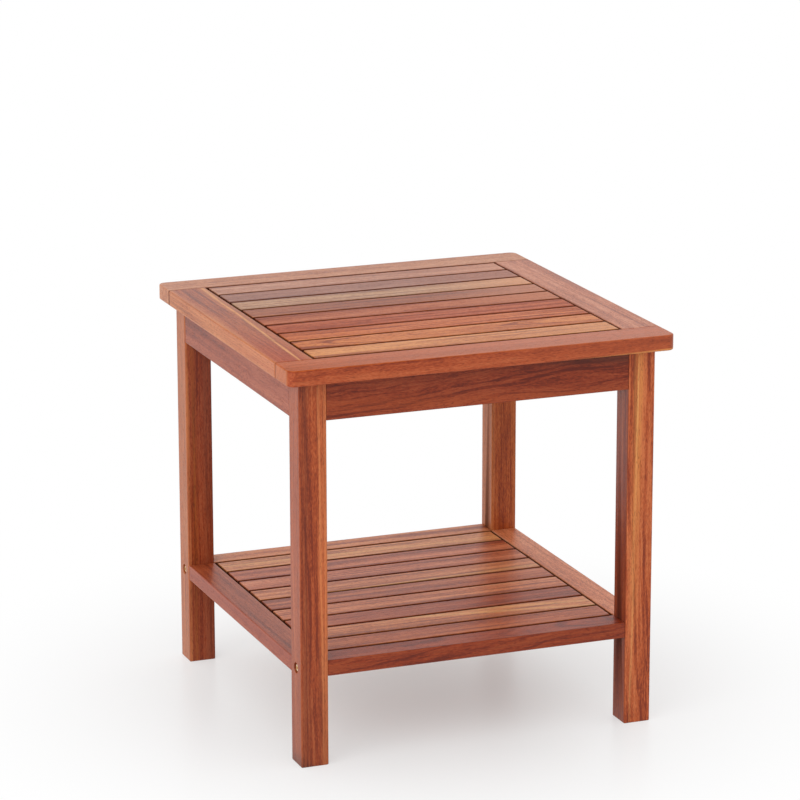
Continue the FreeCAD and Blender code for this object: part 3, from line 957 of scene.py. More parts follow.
class Bench:
    """Edit mode on one piece, with what its operators act on chosen by place."""

    def __init__(self, piece: Piece) -> None:
        """Takes the piece that is worked on."""
        self.piece = piece

    def __enter__(self) -> Self:
        """Goes into edit mode.

        Returns:
            The bench.
        """
        select_only(self.piece)
        bpy.ops.object.mode_set(mode="EDIT")
        return self

    def __exit__(self, *problem: object) -> None:
        """Goes back to object mode."""
        bpy.ops.object.mode_set(mode="OBJECT")

    def round_edges(self, wanted: Callable[[Vector, Vector], bool], radius: float, steps: int) -> None:
        """Rounds the edges that a test wants.

        Args:
            wanted: Takes an edge's middle and its direction.
            radius: The radius of the round.
            steps: How many facets make it.
        """
        bpy.ops.mesh.select_mode(type="EDGE")
        bpy.ops.mesh.select_all(action="DESELECT")
        shape = bmesh.from_edit_mesh(self.piece.data)
        for edge in shape.edges:
            start, end = (vertex.co for vertex in edge.verts)
            edge.select_set(wanted((start + end) / 2, (end - start).normalized()))
        bmesh.update_edit_mesh(self.piece.data)
        bpy.ops.mesh.bevel(offset_type="OFFSET", offset=radius, segments=steps, profile=0.5, affect="EDGES")

    def pick_underside(self) -> None:
        """Selects the faces that look straight down."""
        bpy.ops.mesh.select_mode(type="FACE")
        bpy.ops.mesh.select_all(action="DESELECT")
        shape = bmesh.from_edit_mesh(self.piece.data)
        for face in shape.faces:
            face.select_set(face.normal.z < -PARALLEL)
        bmesh.update_edit_mesh(self.piece.data)

    def score(self, place: Vector, normal: Vector) -> None:
        """Scores a line all round the piece, in the plane through a place."""
        bpy.ops.mesh.select_all(action="SELECT")
        bpy.ops.mesh.bisect(plane_co=place, plane_no=normal)


def smooth(piece: Piece) -> None:
    """Shades a piece's rounds smooth and its flats flat.

    Args:
        piece: The piece.
    """
    select_only(piece)
    bpy.ops.object.shade_smooth_by_angle(angle=SMOOTH_ANGLE)
    apply_modifier(piece, "WEIGHTED_NORMAL", keep_sharp=True)


def hand_in(piece: Piece, slot: str, *nodes: str) -> None:
    """Fixes a finished piece to the table in place of its solids, and reports it.

    Args:
        piece: The piece.
        slot: The material slot that it takes its finish from; not used.
        nodes: The solids that it stands for.
    """
    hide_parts(*nodes)
    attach(piece, ROOT_BODY)
    LOG.info("%s: %d faces, for %s", piece.name, len(piece.data.polygons), ", ".join(nodes))


# ---------------------------------------------------------------- boards


@dataclass
class Board:
    """A board or post that stands for one solid, and faces a narrow gap on its gap sides."""

    node: str
    finish: AcaciaFinish
    gap_sides: tuple[Triple, ...] = ()
    long_ease: float = 1.3 * MM
    end_ease: float = 0.9 * MM

    def __post_init__(self) -> None:
        """Takes the board's place from its solid."""
        self.low, self.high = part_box(self.node)
        self.centre = (self.low + self.high) / 2

    def build(self) -> None:
        """Makes the board, dresses it and hands it in."""
        self.piece = block(f"{self.node}_wood", self.low, self.high)
        with Bench(self.piece) as self.bench:
            self.shape()
            self.score_margins()
        self.bore()
        self.mark_wear()
        self.mark_painted_shade()
        smooth(self.piece)
        self.piece.data.materials.append(self.finish.material(self.piece.name, self.centre))
        hand_in(self.piece, self.finish.heartwood.value, self.node)

    def inset(self, place: Vector, axis: int) -> float:
        """How far a place lies from the nearer of the board's two faces across an axis."""
        return min(place[axis] - self.low[axis], self.high[axis] - place[axis])

    def along_grain(self, direction: Vector) -> bool:
        """Whether a direction is that of the grain."""
        return runs_along(direction, self.finish.grain)

    def on_end(self, place: Vector) -> bool:
        """Whether a place lies in one of the board's end faces."""
        return self.inset(place, self.finish.grain.index) < SAME_PLACE

    def shape(self) -> None:
        """Rounds the board's long edges and then its ends."""
        self.bench.round_edges(lambda middle, run: self.along_grain(run), self.long_ease, LONG_STEPS)
        self.bench.round_edges(lambda middle, run: self.on_end(middle), self.end_ease, END_STEPS)

    def score_margins(self) -> None:
        """Scores the lines along the edges up to which wear reaches."""
        margin = Vector((EDGE_MARGIN, EDGE_MARGIN, EDGE_MARGIN))
        for normal in (RIGHT, REAR, UP):
            self.bench.score(self.low + margin, normal)
            self.bench.score(self.high - margin, normal)

    def bore(self) -> None:
        """Drills the board; a plain one has no holes."""

    def mark_wear(self) -> None:
        """Writes how near each point lies to the board's edges, for the wear on them."""
        mesh = self.piece.data
        worn = mesh.attributes.new(EDGE_WEAR, "FLOAT", "POINT")
        for vertex, value in zip(mesh.vertices, worn.data):
            from_edge = sorted(self.inset(vertex.co, axis) for axis in range(3))[1]
            value.value = max(0.0, 1.0 - max(from_edge, 0.0) / EDGE_MARGIN)

    def mark_painted_shade(self) -> None:
        """Writes where the board faces a narrow gap, for the painted shade on the gap's walls."""
        mesh = self.piece.data
        gap_shading = mesh.attributes.new(PAINTED_GAP_SHADE, "FLOAT", "POINT")
        for vertex, value in zip(mesh.vertices, gap_shading.data):
            depth = self.inset(vertex.co, Axis.Z.index) / self.long_ease
            for side in map(Vector, self.gap_sides):
                wall = max(self.low.dot(side), self.high.dot(side))
                if wall - vertex.co.dot(side) < self.long_ease + SAME_PLACE:
                    brink, gain = END_GAP_SHADE if side.x else LONG_GAP_SHADE
                    value.value = max(value.value, min(1.0, brink + gain * depth))


@dataclass(kw_only=True)
class RimBoard(Board):
    """A board of the top's frame, whose outer side is part of the rim."""

    rim_radius: float

    def on_inner_side(self, place: Vector) -> bool:
        """Whether a place lies in the board's inner side, which faces a gap."""
        inward = Vector(self.gap_sides[0])
        return place.dot(inward) > max(self.low.dot(inward), self.high.dot(inward)) - SAME_PLACE


@dataclass(kw_only=True)
class LongBoard(RimBoard):
    """The front or rear board of the top's frame, with the table's rounded corners at its ends."""

    corner_radius: float

    def shape(self) -> None:
        """Rounds the corners, the rim that runs round them and then the inner side."""
        rounds = self.bench.round_edges
        rounds(lambda middle, run: not self.on_inner_side(middle) and runs_along(run, Axis.Z),
               self.corner_radius, CORNER_STEPS)
        rounds(lambda middle, run: not self.on_inner_side(middle) and not runs_along(run, Axis.Z),
               self.rim_radius, LONG_STEPS)
        rounds(lambda middle, run: self.on_inner_side(middle), self.end_ease, END_STEPS)


@dataclass(kw_only=True)
class Stile(RimBoard):
    """The left or right board of the top's frame, which butts against the long boards."""

    def shape(self) -> None:
        """Rounds the rim, the inner edges and then the ends."""
        rounds = self.bench.round_edges
        rounds(lambda middle, run: not self.on_inner_side(middle) and self.along_grain(run),
               self.rim_radius, LONG_STEPS)
        rounds(lambda middle, run: self.on_inner_side(middle) and self.along_grain(run),
               self.long_ease, LONG_STEPS)
        rounds(lambda middle, run: self.on_end(middle), self.end_ease, END_STEPS)


@dataclass(kw_only=True)
class Post(Board):
    """A leg, with the shelf bolt's counterbore in its outer side and a flat behind its corner block."""

    bolt: Vector
    long_ease: float = 1.6 * MM
    foot_ease: float = 1.2 * MM
    counterbore_radius: float = 6.1 * MM
    counterbore_depth: float = 4.5 * MM
    bolt_hole_radius: float = 3.5 * MM
    flat_depth: float = 6 * MM
    flat_below_apron: float = 1 * MM

    def __post_init__(self) -> None:
        """Takes the leg's place, and how far out its outer side lies."""
        super().__post_init__()
        self.reach = max(abs(self.low.x), abs(self.high.x))

    def shape(self) -> None:
        """Rounds the leg's four arrises and its foot."""
        self.bench.round_edges(lambda middle, run: self.along_grain(run), self.long_ease, LONG_STEPS)
        self.bench.round_edges(lambda middle, run: middle.z < SAME_PLACE, self.foot_ease, END_STEPS)

    def bore(self) -> None:
        """Cuts the flat on the inner arris, the counterbore and the bolt's hole."""
        self.cut_flat()
        side = math.copysign(1.0, self.centre.x)
        inward = Vector((-side, 0, 0))
        mouth = Vector((side * self.reach, self.bolt.y, self.bolt.z))
        drill(self.piece, mouth, inward, self.counterbore_radius, self.counterbore_depth)
        drill(self.piece, mouth, inward, self.bolt_hole_radius, self.high.x - self.low.x + CUTTER_START)

    def cut_flat(self) -> None:
        """Takes off the inner arris where the corner block's bolt enters."""
        inner = Vector((min(self.low.x, self.high.x, key=abs), min(self.low.y, self.high.y, key=abs), 0))
        inward = Vector((-math.copysign(1, inner.x), -math.copysign(1, inner.y), 0)).normalized()
        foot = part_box("apron_front")[0].z - self.flat_below_apron
        side = self.high.x - self.low.x
        height = self.high.z - foot + CUTTER_START
        middle = inner - inward * (self.flat_depth - side / 2)
        middle.z = foot + height / 2
        cutter = start_from(bpy.ops.mesh.primitive_cube_add, size=1.0)
        turn = Matrix.Rotation(math.pi / 4, 4, "Z")
        cutter.matrix_world = Matrix.Translation(middle) @ turn @ Matrix.Diagonal((side, side, height, 1))
        cut_away(self.piece, cutter)

    def mark_painted_shade(self) -> None:
        """Marks the counterbore's wall and floor for painted shade."""
        super().mark_painted_shade()
        mesh = self.piece.data
        for vertex, value in zip(mesh.vertices, mesh.attributes[PAINTED_GAP_SHADE].data):
            off = math.hypot(vertex.co.y - self.bolt.y, vertex.co.z - self.bolt.z)
            if off < self.counterbore_radius + SAME_PLACE and abs(vertex.co.x) < self.reach - SAME_PLACE:
                value.value = COUNTERBORE_SHADE


@dataclass(kw_only=True)
class DrilledBoard(Board):
    """A board with blind holes up into its underside, and perhaps with bolt holes in its ends."""

    holes_from_middle: float
    hole_radius: float
    hole_depth: float
    end_hole_radius: float = 0.0
    end_hole_depth: float = 0.0

    def bore(self) -> None:
        """Drills both blind holes, and both ends where bolts enter them."""
        grain = self.finish.grain.index
        for side, end in ((-1, self.low), (1, self.high)):
            mouth = self.centre.copy()
            mouth[grain] += side * self.holes_from_middle
            mouth.z = self.low.z
            drill(self.piece, mouth, Vector(UP), self.hole_radius, self.hole_depth)
            if self.end_hole_radius:
                mouth = self.centre.copy()
                mouth[grain] = end[grain]
                inward = Vector((0, 0, 0))
                inward[grain] = -side
                drill(self.piece, mouth, inward, self.end_hole_radius, self.end_hole_depth)


# ---------------------------------------------------------------- sub-assemblies

GOLD_SAP = (0.70, 0.270, 0.070)
PALE_SAP = (0.86, 0.430, 0.150)
PEACH_SAP = (0.68, 0.220, 0.075)
TAN_SAP = (0.60, 0.220, 0.080)
# Dark heartwood, which on the front left leg also serves as painted shade towards the floor.
DARK_HEART_AND_SHADE = (0.110, 0.020, 0.010)


def inward_of(node: str) -> Triple:
    """The direction to the table's middle from a board that lies on the side which ends its name."""
    return tuple(-step for step in SIDES[node.rpartition("_")[2]])


def light_end(colour: Colour, strength: float) -> tuple[Streak, ...]:
    """The wide lighter zone in which many of the top's slats end at the right, partly their own tone and
    partly a painted sheen.
    """
    return (Streak(RIGHT, 0.2100, 0.2000, colour, strength, 1.0, 0.01, 0.1),)


@dataclass
class TableTop:
    """The top: two long boards, two stiles between them and nine slats."""

    corner_radius: float = 9 * MM
    rim_radius: float = 1.5 * MM

    def long_boards(self) -> dict[str, AcaciaFinish]:
        """Chooses the long boards' finishes.

        Returns:
            The finish of the front and the rear board, by the names of their solids.
        """
        wood, x, figure = Heartwood, Axis.X, Figure
        return {
            "top_board_front": AcaciaFinish(wood.SALMON, (0.372, 0.062, 0.016), x, 11, figure.PLAIN, (
                Streak(RIGHT, 0.3200, 0.4800, (0.470, 0.103, 0.036), 0.45, 1.0, 0.02, 0.2),
                Streak((-0.015, 0, 1), 0.4368, 0.0020, GOLD_SAP, 0.9, 0.8, 0.0004, 0.5),
                # Painted light: the upper face lighter than the board's sides.
                Streak(UP, 0.4590, 0.0030, (0.560, 0.140, 0.036), 0.50, 0.3, 0.0001, 0.1),
                Streak(RIGHT, -0.2305, 0.0030, (0.560, 0.170, 0.040), 0.50, 0.3, 0.0001, 0.1))),
            "top_board_rear": AcaciaFinish(wood.SALMON, (0.486, 0.164, 0.068), x, 12, figure.PLAIN),
        }

    def stiles(self) -> dict[str, AcaciaFinish]:
        """Chooses the stiles' finishes.

        Returns:
            The finish of the left and the right stile, by the names of their solids.
        """
        wood, y, figure = Heartwood, Axis.Y, Figure
        return {
            "top_stile_left": AcaciaFinish(wood.MAUVE, (0.390, 0.080, 0.018), y, 13, figure.STRAIGHT, (
                Streak(REAR, -0.2000, 0.2200, (0.400, 0.044, 0.009), 0.6, 1.0, 0.02, 0.1),
                Streak(RIGHT, -0.1860, 0.0130, (0.500, 0.150, 0.042), 0.65, 0.9, 0.0020, 0.4),
                Streak((1, -0.030, 0), -0.1938, 0.0024, (0.800, 0.370, 0.110), 0.80, 0.8, 0.0014, 0.5),
                Streak(RIGHT, -0.2280, 0.0050, TAN_SAP))),
            "top_stile_right": AcaciaFinish(wood.SALMON, (0.500, 0.149, 0.066), y, 14, figure.PLAIN),
        }

    def slats(self) -> dict[str, AcaciaFinish]:
        """Chooses the slats' finishes.

        Returns:
            The finish of each slat, by the name of its solid.
        """
        wood, x, figure = Heartwood, Axis.X, Figure
        return {
            "top_slat_9": AcaciaFinish(wood.SALMON, (0.445, 0.152, 0.073), x, 29, figure.STRAIGHT,
                                       light_end((0.590, 0.215, 0.105), 0.70)),
            "top_slat_8": AcaciaFinish(wood.MAROON, (0.300, 0.088, 0.043), x, 28, figure.STRAIGHT,
                                       light_end((0.400, 0.110, 0.045), 0.70)),
            "top_slat_7": AcaciaFinish(wood.GOLD, (0.418, 0.166, 0.066), x, 27, figure.RIBBON,
                                       light_end((0.700, 0.270, 0.098), 0.85)),
            "top_slat_6": AcaciaFinish(wood.MAUVE, (0.300, 0.060, 0.013), x, 26, figure.STRAIGHT,
                                       light_end((0.540, 0.185, 0.088), 0.85), sheen=0.65),
            "top_slat_5": AcaciaFinish(wood.RED, (0.418, 0.098, 0.035), x, 25, figure.STRAIGHT,
                                       light_end((0.560, 0.205, 0.105), 0.85), sheen=0.22),
            "top_slat_4": AcaciaFinish(wood.RED, (0.432, 0.087, 0.029), x, 24, figure.RIBBON, sheen=0.18),
            "top_slat_3": AcaciaFinish(wood.ORANGE, (0.525, 0.123, 0.034), x, 23, figure.STRAIGHT,
                                       sheen=0.22),
            "top_slat_2": AcaciaFinish(wood.ORANGE, (0.532, 0.138, 0.035), x, 22, figure.CATHEDRAL,
                                       sheen=0.30),
            "top_slat_1": AcaciaFinish(wood.GOLD, (0.549, 0.164, 0.043), x, 21, figure.RIBBON,
                                       light_end((0.690, 0.275, 0.098), 0.70), sheen=0.60),
        }

    def build(self) -> None:
        """Makes every board of the top, all with a painted weaker reflection towards the front left of their
        upper faces.
        """
        for node, finish in self.long_boards().items():
            LongBoard(node, replace(finish, painted_dull=True), (inward_of(node),), rim_radius=self.rim_radius,
                      corner_radius=self.corner_radius).build()
        for node, finish in self.stiles().items():
            Stile(node, replace(finish, painted_dull=True), (inward_of(node),), rim_radius=self.rim_radius).build()
        for node, finish in self.slats().items():
            Board(node, replace(finish, painted_dull=True), ALL_ROUND).build()


@dataclass
class LegFrame:
    """The four legs, and the four aprons between them."""

    apron_hole_from_middle: float = 89.5 * MM
    apron_hole_radius: float = 4.1 * MM
    apron_hole_depth: float = 25 * MM

    def legs(self) -> dict[str, AcaciaFinish]:
        """Chooses the legs' finishes.

        Returns:
            The finish of each leg, by the name of its solid.
        """
        wood, z, figure = Heartwood, Axis.Z, Figure
        return {
            "leg_front_left": AcaciaFinish(wood.RED, (0.385, 0.069, 0.017), z, 31, figure.STRAIGHT, (
                Streak(RIGHT, -0.2060, 0.0100, DARK_HEART_AND_SHADE, 0.60, 1.0, 0.0015, 0.5),
                Streak(RIGHT, -0.2125, 0.0022, (0.460, 0.110, 0.036), 0.35, 0.5, 0.0002, 0.2),
                Streak(RIGHT, -0.1795, 0.0140, PEACH_SAP, 0.62, 1.0, 0.0020, 0.7),
                Streak((1, 0, 0.010), -0.1850, 0.0020, PEACH_SAP, 0.80, 0.9, 0.0012, 0.6),
                # Painted shade: the leg darker towards the floor, and near black at the left of its foot.
                Streak(UP, 0.0000, 0.2200, DARK_HEART_AND_SHADE, 0.30, 1.0, 0.01, 0.3),
                Streak((0.7, 0, 1), -0.1480, 0.0200, (0.070, 0.016, 0.010), 0.65, 0.9, 0.0012, 0.4))),
            "leg_front_right": AcaciaFinish(wood.ORANGE, (0.445, 0.086, 0.022), z, 32, figure.RIBBON, (
                Streak((1, 0, -0.0137), 0.1864, 0.0085, GOLD_SAP, 0.70, 0.9, 0.0012, 0.6, (0.04, 0.30)),
                Streak((1, 0, -0.0137), 0.1860, 0.0022, PALE_SAP, 0.40, 0.9, 0.0012, 0.75),
                Streak(RIGHT, 0.1785, 0.0020, (0.110, 0.012, 0.006), 0.6, 0.5, 0.0003, 0.3))),
            "leg_rear_left": AcaciaFinish(wood.RED, (0.285, 0.047, 0.013), z, 33, figure.STRAIGHT, (
                Streak(RIGHT, -0.2115, 0.0045, (0.660, 0.230, 0.080), 0.60, 0.5, 0.0010, 0.6),
                Streak(RIGHT, -0.2025, 0.0050, (0.450, 0.130, 0.025), 0.5, 0.9, 0.0015, 0.75),
                Streak(RIGHT, -0.1850, 0.0100, DARK_HEART_AND_SHADE, 0.55, 0.9, 0.002, 0.6))),
            "leg_rear_right": AcaciaFinish(wood.ORANGE, (0.385, 0.074, 0.014), z, 34, figure.STRAIGHT, (
                Streak(RIGHT, 0.1795, 0.0040, (0.700, 0.260, 0.090), 0.50, 0.5, 0.0010, 0.4),)),
        }

    def aprons(self) -> dict[str, AcaciaFinish]:
        """Chooses the aprons' finishes.

        Returns:
            The finish of each apron, by the name of its solid.
        """
        wood, x, y, figure = Heartwood, Axis.X, Axis.Y, Figure
        return {
            "apron_front": AcaciaFinish(wood.MAROON, (0.243, 0.033, 0.008), x, 41, figure.CURLY, (
                # Painted shade of the top's overhang: a near black band along the apron's upper edge, wider
                # to the right, and a lighter band along its lower edge.
                Streak((0.072, 0, 1), 0.4450, 0.0130, (0.075, 0.020, 0.012), 0.75, 1.0, 0.003, 0.4),
                Streak((0.060, 0, 1), 0.3990, 0.0140, (0.380, 0.070, 0.016), 0.55, 1.0, 0.003, 0.7))),
            "apron_left": AcaciaFinish(wood.MAUVE, (0.323, 0.060, 0.020), y, 42, figure.PLAIN),
            "apron_rear": AcaciaFinish(wood.RED, (0.280, 0.050, 0.014), x, 43, figure.CATHEDRAL),
            "apron_right": AcaciaFinish(wood.SALMON, (0.400, 0.100, 0.034), y, 44, figure.STRAIGHT),
        }

    def build(self) -> None:
        """Makes the legs and the aprons."""
        bolts = Fasteners().shelf_bolt_places()
        for node, finish in self.legs().items():
            Post(node, finish, bolt=bolts[node.removeprefix("leg_")]).build()
        for node, finish in self.aprons().items():
            DrilledBoard(node, finish, holes_from_middle=self.apron_hole_from_middle,
                         hole_radius=self.apron_hole_radius, hole_depth=self.apron_hole_depth).build()


@dataclass
class Shelf:
    """The shelf: four rails between the legs, and nine slats."""

    nut_hole_from_middle: float = 155.5 * MM
    nut_hole_radius: float = 5.1 * MM
    nut_hole_depth: float = 16.1 * MM
    bolt_hole_radius: float = 3.5 * MM
    bolt_hole_depth: float = 34.5 * MM

    def bolted_rails(self) -> dict[str, AcaciaFinish]:
        """Chooses the bolted rails' finishes.

        Returns:
            The finish of the front and the rear rail, by the names of their solids.
        """
        wood, x, figure = Heartwood, Axis.X, Figure
        return {
            "shelf_rail_front": AcaciaFinish(wood.RED, (0.322, 0.042, 0.008), x, 51, figure.CURLY, (
                Streak(REAR, -0.2110, 0.0045, DARK_HEART_AND_SHADE, 0.45, 0.6, 0.0010, 0.5),)),
            "shelf_rail_rear": AcaciaFinish(wood.MAUVE, (0.610, 0.176, 0.057), x, 52, figure.STRAIGHT),
        }

    def side_rails(self) -> dict[str, AcaciaFinish]:
        """Chooses the side rails' finishes.

        Returns:
            The finish of the left and the right rail, by the names of their solids.
        """
        wood, y, figure = Heartwood, Axis.Y, Figure
        return {
            "shelf_rail_left": AcaciaFinish(wood.MAUVE, (0.365, 0.072, 0.022), y, 53, figure.PLAIN, (
                Streak(RIGHT, -0.2110, 0.0045, (0.300, 0.035, 0.010), 0.50, 0.6, 0.0010, 0.3),)),
            "shelf_rail_right": AcaciaFinish(wood.SALMON, (0.644, 0.185, 0.069), y, 54, figure.PLAIN),
        }

    def slats(self) -> dict[str, AcaciaFinish]:
        """Chooses the slats' finishes.

        Returns:
            The finish of each slat, by the name of its solid.
        """
        wood, x, figure = Heartwood, Axis.X, Figure
        return {
            "shelf_slat_9": AcaciaFinish(wood.GOLD, (0.630, 0.202, 0.063), x, 69, figure.RIBBON, (
                Streak((0.020, 1, 0), 0.1560, 0.0060, PALE_SAP, 0.6, 0.9, 0.0020, 0.6),)),
            "shelf_slat_8": AcaciaFinish(wood.MAUVE, (0.530, 0.124, 0.043), x, 68, figure.STRAIGHT),
            "shelf_slat_7": AcaciaFinish(wood.MAUVE, (0.535, 0.130, 0.047), x, 67, figure.STRAIGHT),
            "shelf_slat_6": AcaciaFinish(wood.GOLD, (0.570, 0.156, 0.049), x, 66, figure.RIBBON, (
                Streak((-0.040, 1, 0), 0.0225, 0.0060, PALE_SAP, 0.75, 0.9, 0.0020, 0.5),)),
            "shelf_slat_5": AcaciaFinish(wood.MAROON, (0.460, 0.098, 0.029), x, 65, figure.STRAIGHT),
            "shelf_slat_4": AcaciaFinish(wood.SALMON, (0.585, 0.153, 0.048), x, 64, figure.STRAIGHT),
            "shelf_slat_3": AcaciaFinish(wood.MAROON, (0.380, 0.062, 0.014), x, 63, figure.STRAIGHT),
            "shelf_slat_2": AcaciaFinish(wood.GOLD, (0.590, 0.162, 0.044), x, 62, figure.STRAIGHT, (
                Streak((0.160, 1, 0), -0.1080, 0.0060, PALE_SAP, 0.85, 0.9, 0.0020, 0.4),
                Streak((0.110, 1, 0), -0.0980, 0.0060, PALE_SAP, 0.75, 0.9, 0.0020, 0.4))),
            "shelf_slat_1": AcaciaFinish(wood.MAUVE, (0.452, 0.088, 0.018), x, 61, figure.STRAIGHT),
        }

    def build(self) -> None:
        """Makes every board of the shelf."""
        for node, finish in self.bolted_rails().items():
            DrilledBoard(node, finish, (inward_of(node),), holes_from_middle=self.nut_hole_from_middle,
                         hole_radius=self.nut_hole_radius, hole_depth=self.nut_hole_depth,
                         end_hole_radius=self.bolt_hole_radius, end_hole_depth=self.bolt_hole_depth).build()
        for node, finish in self.side_rails().items():
            Board(node, finish, (inward_of(node),)).build()
        for node, finish in self.slats().items():
            Board(node, finish, ALL_ROUND).build()


# The corner blocks whose grain runs across the table's corners. All else that is hidden runs along Y.
BLOCK_GRAIN = {
    "corner_block_front_left": Axis.DIAGONAL, "corner_block_rear_right": Axis.DIAGONAL,
    "corner_block_front_right": Axis.ANTIDIAGONAL, "corner_block_rear_left": Axis.ANTIDIAGONAL,
}


@dataclass
class Fasteners:
    """The brass shelf bolts, and the finishes of the metal and the plain wood out of sight."""

    head_radius: float = 5.25 * MM
    head_height: float = 3.3 * MM
    head_round: float = 2.4 * MM
    head_steps: int = 64
    head_round_steps: int = 8
    shank_radius: float = 3 * MM
    shank_length: float = 61 * MM
    tip_ease: float = 0.8 * MM
    tip_steps: int = 2
    socket_sides: int = 6
    socket_across_flats: float = 4 * MM
    socket_depth: float = 2 * MM

    def shelf_bolt_places(self) -> dict[str, Vector]:
        """Finds where the shelf bolts go.

        Returns:
            The middle of each bolt head's outer face, by the corner that it is at.
        """
        low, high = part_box("shelf_bolts")
        middle_z = (low.z + high.z) / 2
        front, rear = low.y + self.head_radius, high.y - self.head_radius
        return {f"{end}_{side}": Vector((x, y, middle_z))
                for end, y in (("front", front), ("rear", rear))
                for side, x in (("left", low.x), ("right", high.x))}

    def pattern_bolt(self) -> Piece:
        """One bolt, its head's outer face at the origin and facing +Z.

        Returns:
            The bolt that the others are copied from.
        """
        tip = -self.head_height - self.shank_length
        piece = start_from(bpy.ops.mesh.primitive_cylinder_add, vertices=self.head_steps,
                           radius=self.head_radius, depth=self.head_height,
                           location=(0, 0, -self.head_height / 2))
        piece.name = "pattern_bolt"
        apply_place(piece)
        with Bench(piece) as bench:
            bench.round_edges(lambda middle, run: middle.z > -SAME_PLACE,
                              self.head_round, self.head_round_steps)
            bench.pick_underside()
            bpy.ops.mesh.inset(thickness=self.head_radius - self.shank_radius)
            bpy.ops.mesh.extrude_region_move(TRANSFORM_OT_translate={"value": (0, 0, -self.shank_length)})
            bench.round_edges(lambda middle, run: middle.z < tip + SAME_PLACE,
                              self.tip_ease, self.tip_steps)
        socket_radius = self.socket_across_flats / math.sqrt(3)
        cut_away(piece, start_from(bpy.ops.mesh.primitive_cylinder_add, vertices=self.socket_sides,
                                   radius=socket_radius, depth=2 * self.socket_depth))
        smooth(piece)
        return piece

    def build(self) -> None:
        """Makes the four bolts and dresses the solids that stay."""
        pattern = self.pattern_bolt()
        brass = BRASS.material("bright_brass")
        for corner, place in self.shelf_bolt_places().items():
            bolt = pattern.copy()
            bolt.data = pattern.data.copy()
            bolt.name = bolt.data.name = f"shelf_bolt_{corner}"
            bpy.context.scene.collection.objects.link(bolt)
            bolt.data.transform(along_direction(place, Vector((math.copysign(1, place.x), 0, 0))))
            bolt.data.materials.append(brass)
            hand_in(bolt, "brass", "shelf_bolts")
        bpy.data.meshes.remove(pattern.data)
        self.dress_solids()

    def dress_solids(self) -> None:
        """Gives every solid that stays in view its finish."""
        by_slot = {"zinc_steel": ZINC.material("bright_zinc"),
                   "dowel_wood": DOWEL_WOOD.material("dowel_wood_Y")}
        plain = {axis: replace(HIDDEN_WOOD, grain=axis).material(f"plain_hardwood_{axis.name}")
                 for axis in (Axis.Y, Axis.DIAGONAL, Axis.ANTIDIAGONAL)}
        for entry in frame["record"]["subparts"]:
            solid = frame["nodes"][entry["node"]]
            if solid.hide_render:
                continue
            grain = BLOCK_GRAIN.get(entry["node"], Axis.Y)
            finish = by_slot.get(entry["material_slot"], plain[grain])
            for slot in solid.material_slots:
                slot.material = finish


# ---------------------------------------------------------------- studio


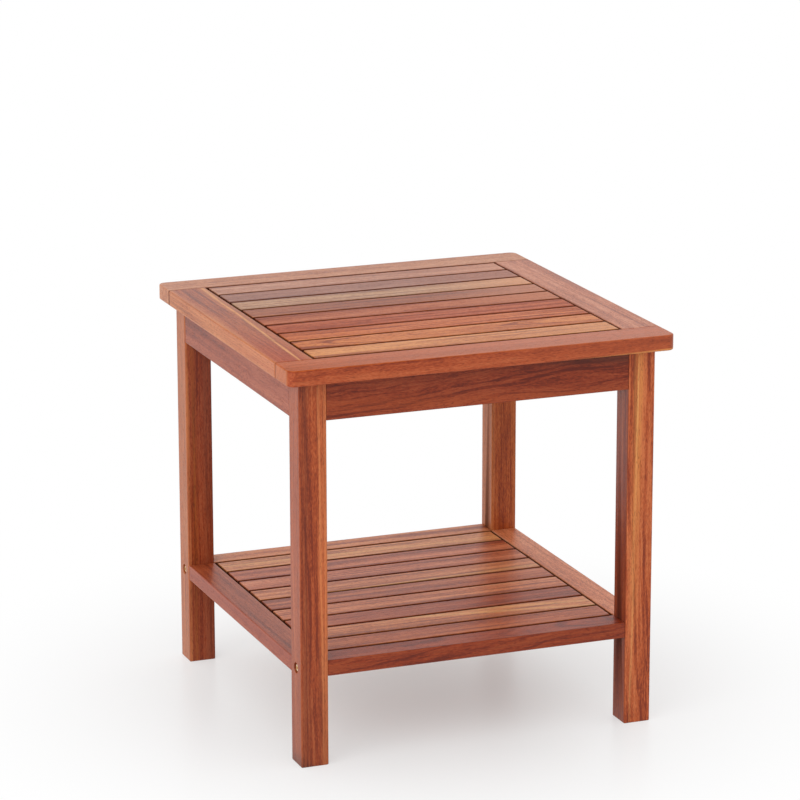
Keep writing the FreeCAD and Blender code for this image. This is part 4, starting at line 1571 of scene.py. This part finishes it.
@dataclass
class Studio:
    """A white floor that runs out of sight, a soft lamp and the camera."""

    floor_half_size: float = 14.0
    floor_colour: Colour = (0.82, 0.82, 0.82)
    floor_cloud_colour: Colour = (0.83, 0.83, 0.828)
    floor_clouds: Pattern = Pattern(0.5, 0.5)
    floor_roughness: float = 0.28
    floor_gloss: float = 0.35
    floor_lift: float = 0.29
    fade_start: float = 0.02
    fade_end: float = 0.62
    ambient: float = 0.87
    lamp_place: Triple = (-2.2, -1.5, 1.5)
    lamp_size: float = 2.2
    lamp_power: float = 31.0
    view_azimuth: float = math.radians(-21.76)
    view_elevation: float = math.radians(14.77)
    view_distance: float = 4.2546
    target_right: float = 0.0139
    target_height: float = 0.3480
    focal_pixels: float = 3694.9
    frame_pixels: float = 800.0
    centre_column: float = 421.34
    film_width: float = 36.0

    def build(self) -> None:
        """Makes the floor, the world, the lamp and the camera."""
        self.floor()
        self.world()
        self.lamp()
        self.camera()
        bpy.context.scene.view_settings.view_transform = "Standard"

    def floor(self) -> None:
        """Lays the floor: white paper whose seen colour is mixed with a painted white glow, which lightens
        the table's shadow nearby and makes the floor burn out to white with distance.
        """
        floor = start_from(bpy.ops.mesh.primitive_plane_add, size=2 * self.floor_half_size)
        floor.name = "floor"
        sheet = NodeSheet(bpy.data.materials.new("white_floor"))
        place = sheet.object_place()
        clouds = sheet.noise(place, self.floor_clouds)
        paper = sheet.principled(Base_Color=sheet.blend(clouds, self.floor_colour, self.floor_cloud_colour),
                                 Roughness=self.floor_roughness, Specular_IOR_Level=self.floor_gloss)
        reach = sheet.vector("LENGTH", place, (0, 0, 0))
        fade = sheet.spread(reach, self.fade_start, self.fade_end, self.floor_lift, 1.0, smooth=True)
        mix = sheet.add("ShaderNodeMixShader")
        sheet.feed(mix.inputs[0], sheet.math("MULTIPLY", fade, sheet.seen_rays()))
        sheet.feed(mix.inputs[1], paper)
        sheet.feed(mix.inputs[2], sheet.add("ShaderNodeEmission").outputs[0])
        floor.data.materials.append(sheet.surface(mix.outputs[0]))

    def world(self) -> None:
        """Surrounds the table with plain white that lights it at a plain level."""
        world = bpy.data.worlds.new("studio")
        bpy.context.scene.world = world
        sheet = NodeSheet(world, "ShaderNodeOutputWorld")
        background = sheet.add("ShaderNodeBackground")
        background.inputs["Color"].default_value = rgba((1, 1, 1))
        level = sheet.spread(sheet.seen_rays(), 0.0, 1.0, self.ambient, 1.0)
        sheet.feed(background.inputs["Strength"], level)
        sheet.feed(sheet.output.inputs["Surface"], background.outputs[0])

    def lamp(self) -> None:
        """Hangs a square softbox at the front left that faces the table."""
        light = bpy.data.lights.new("key", "AREA")
        light.shape = "SQUARE"
        light.size = self.lamp_size
        light.energy = self.lamp_power
        lamp = bpy.data.objects.new("key", light)
        bpy.context.scene.collection.objects.link(lamp)
        place = Vector(self.lamp_place)
        aim = Vector((0, 0, self.target_height)) - place
        lamp.matrix_world = along_direction(place, -aim.normalized())

    def camera(self) -> None:
        """Sets up the camera with the product view's angle and framing."""
        azimuth, elevation = self.view_azimuth, self.view_elevation
        back = Vector((math.sin(azimuth) * math.cos(elevation), -math.cos(azimuth) * math.cos(elevation),
                       math.sin(elevation)))
        right = Vector((math.cos(azimuth), math.sin(azimuth), 0))
        up = back.cross(right)
        data = bpy.data.cameras.new("product_view")
        data.sensor_width = self.film_width
        data.lens = self.focal_pixels * self.film_width / self.frame_pixels
        data.shift_x = (self.frame_pixels / 2 - self.centre_column) / self.frame_pixels
        camera = bpy.data.objects.new("product_view", data)
        bpy.context.scene.collection.objects.link(camera)
        place = Vector((0, 0, self.target_height)) + right * self.target_right + back * self.view_distance
        turn = Matrix((right, up, back)).transposed()
        camera.matrix_world = Matrix.Translation(place) @ turn.to_4x4()
        bpy.context.scene.camera = camera


# ---------------------------------------------------------------- the table


def main() -> None:
    """Builds and dresses the table, and sets up the studio."""
    logging.basicConfig(level=logging.INFO, format="%(message)s")
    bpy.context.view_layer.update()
    for assembly in (TableTop(), LegFrame(), Shelf(), Fasteners()):
        LOG.info("building %s", type(assembly).__name__)
        assembly.build()
    Studio().build()


if __name__ == "__main__":
    main()
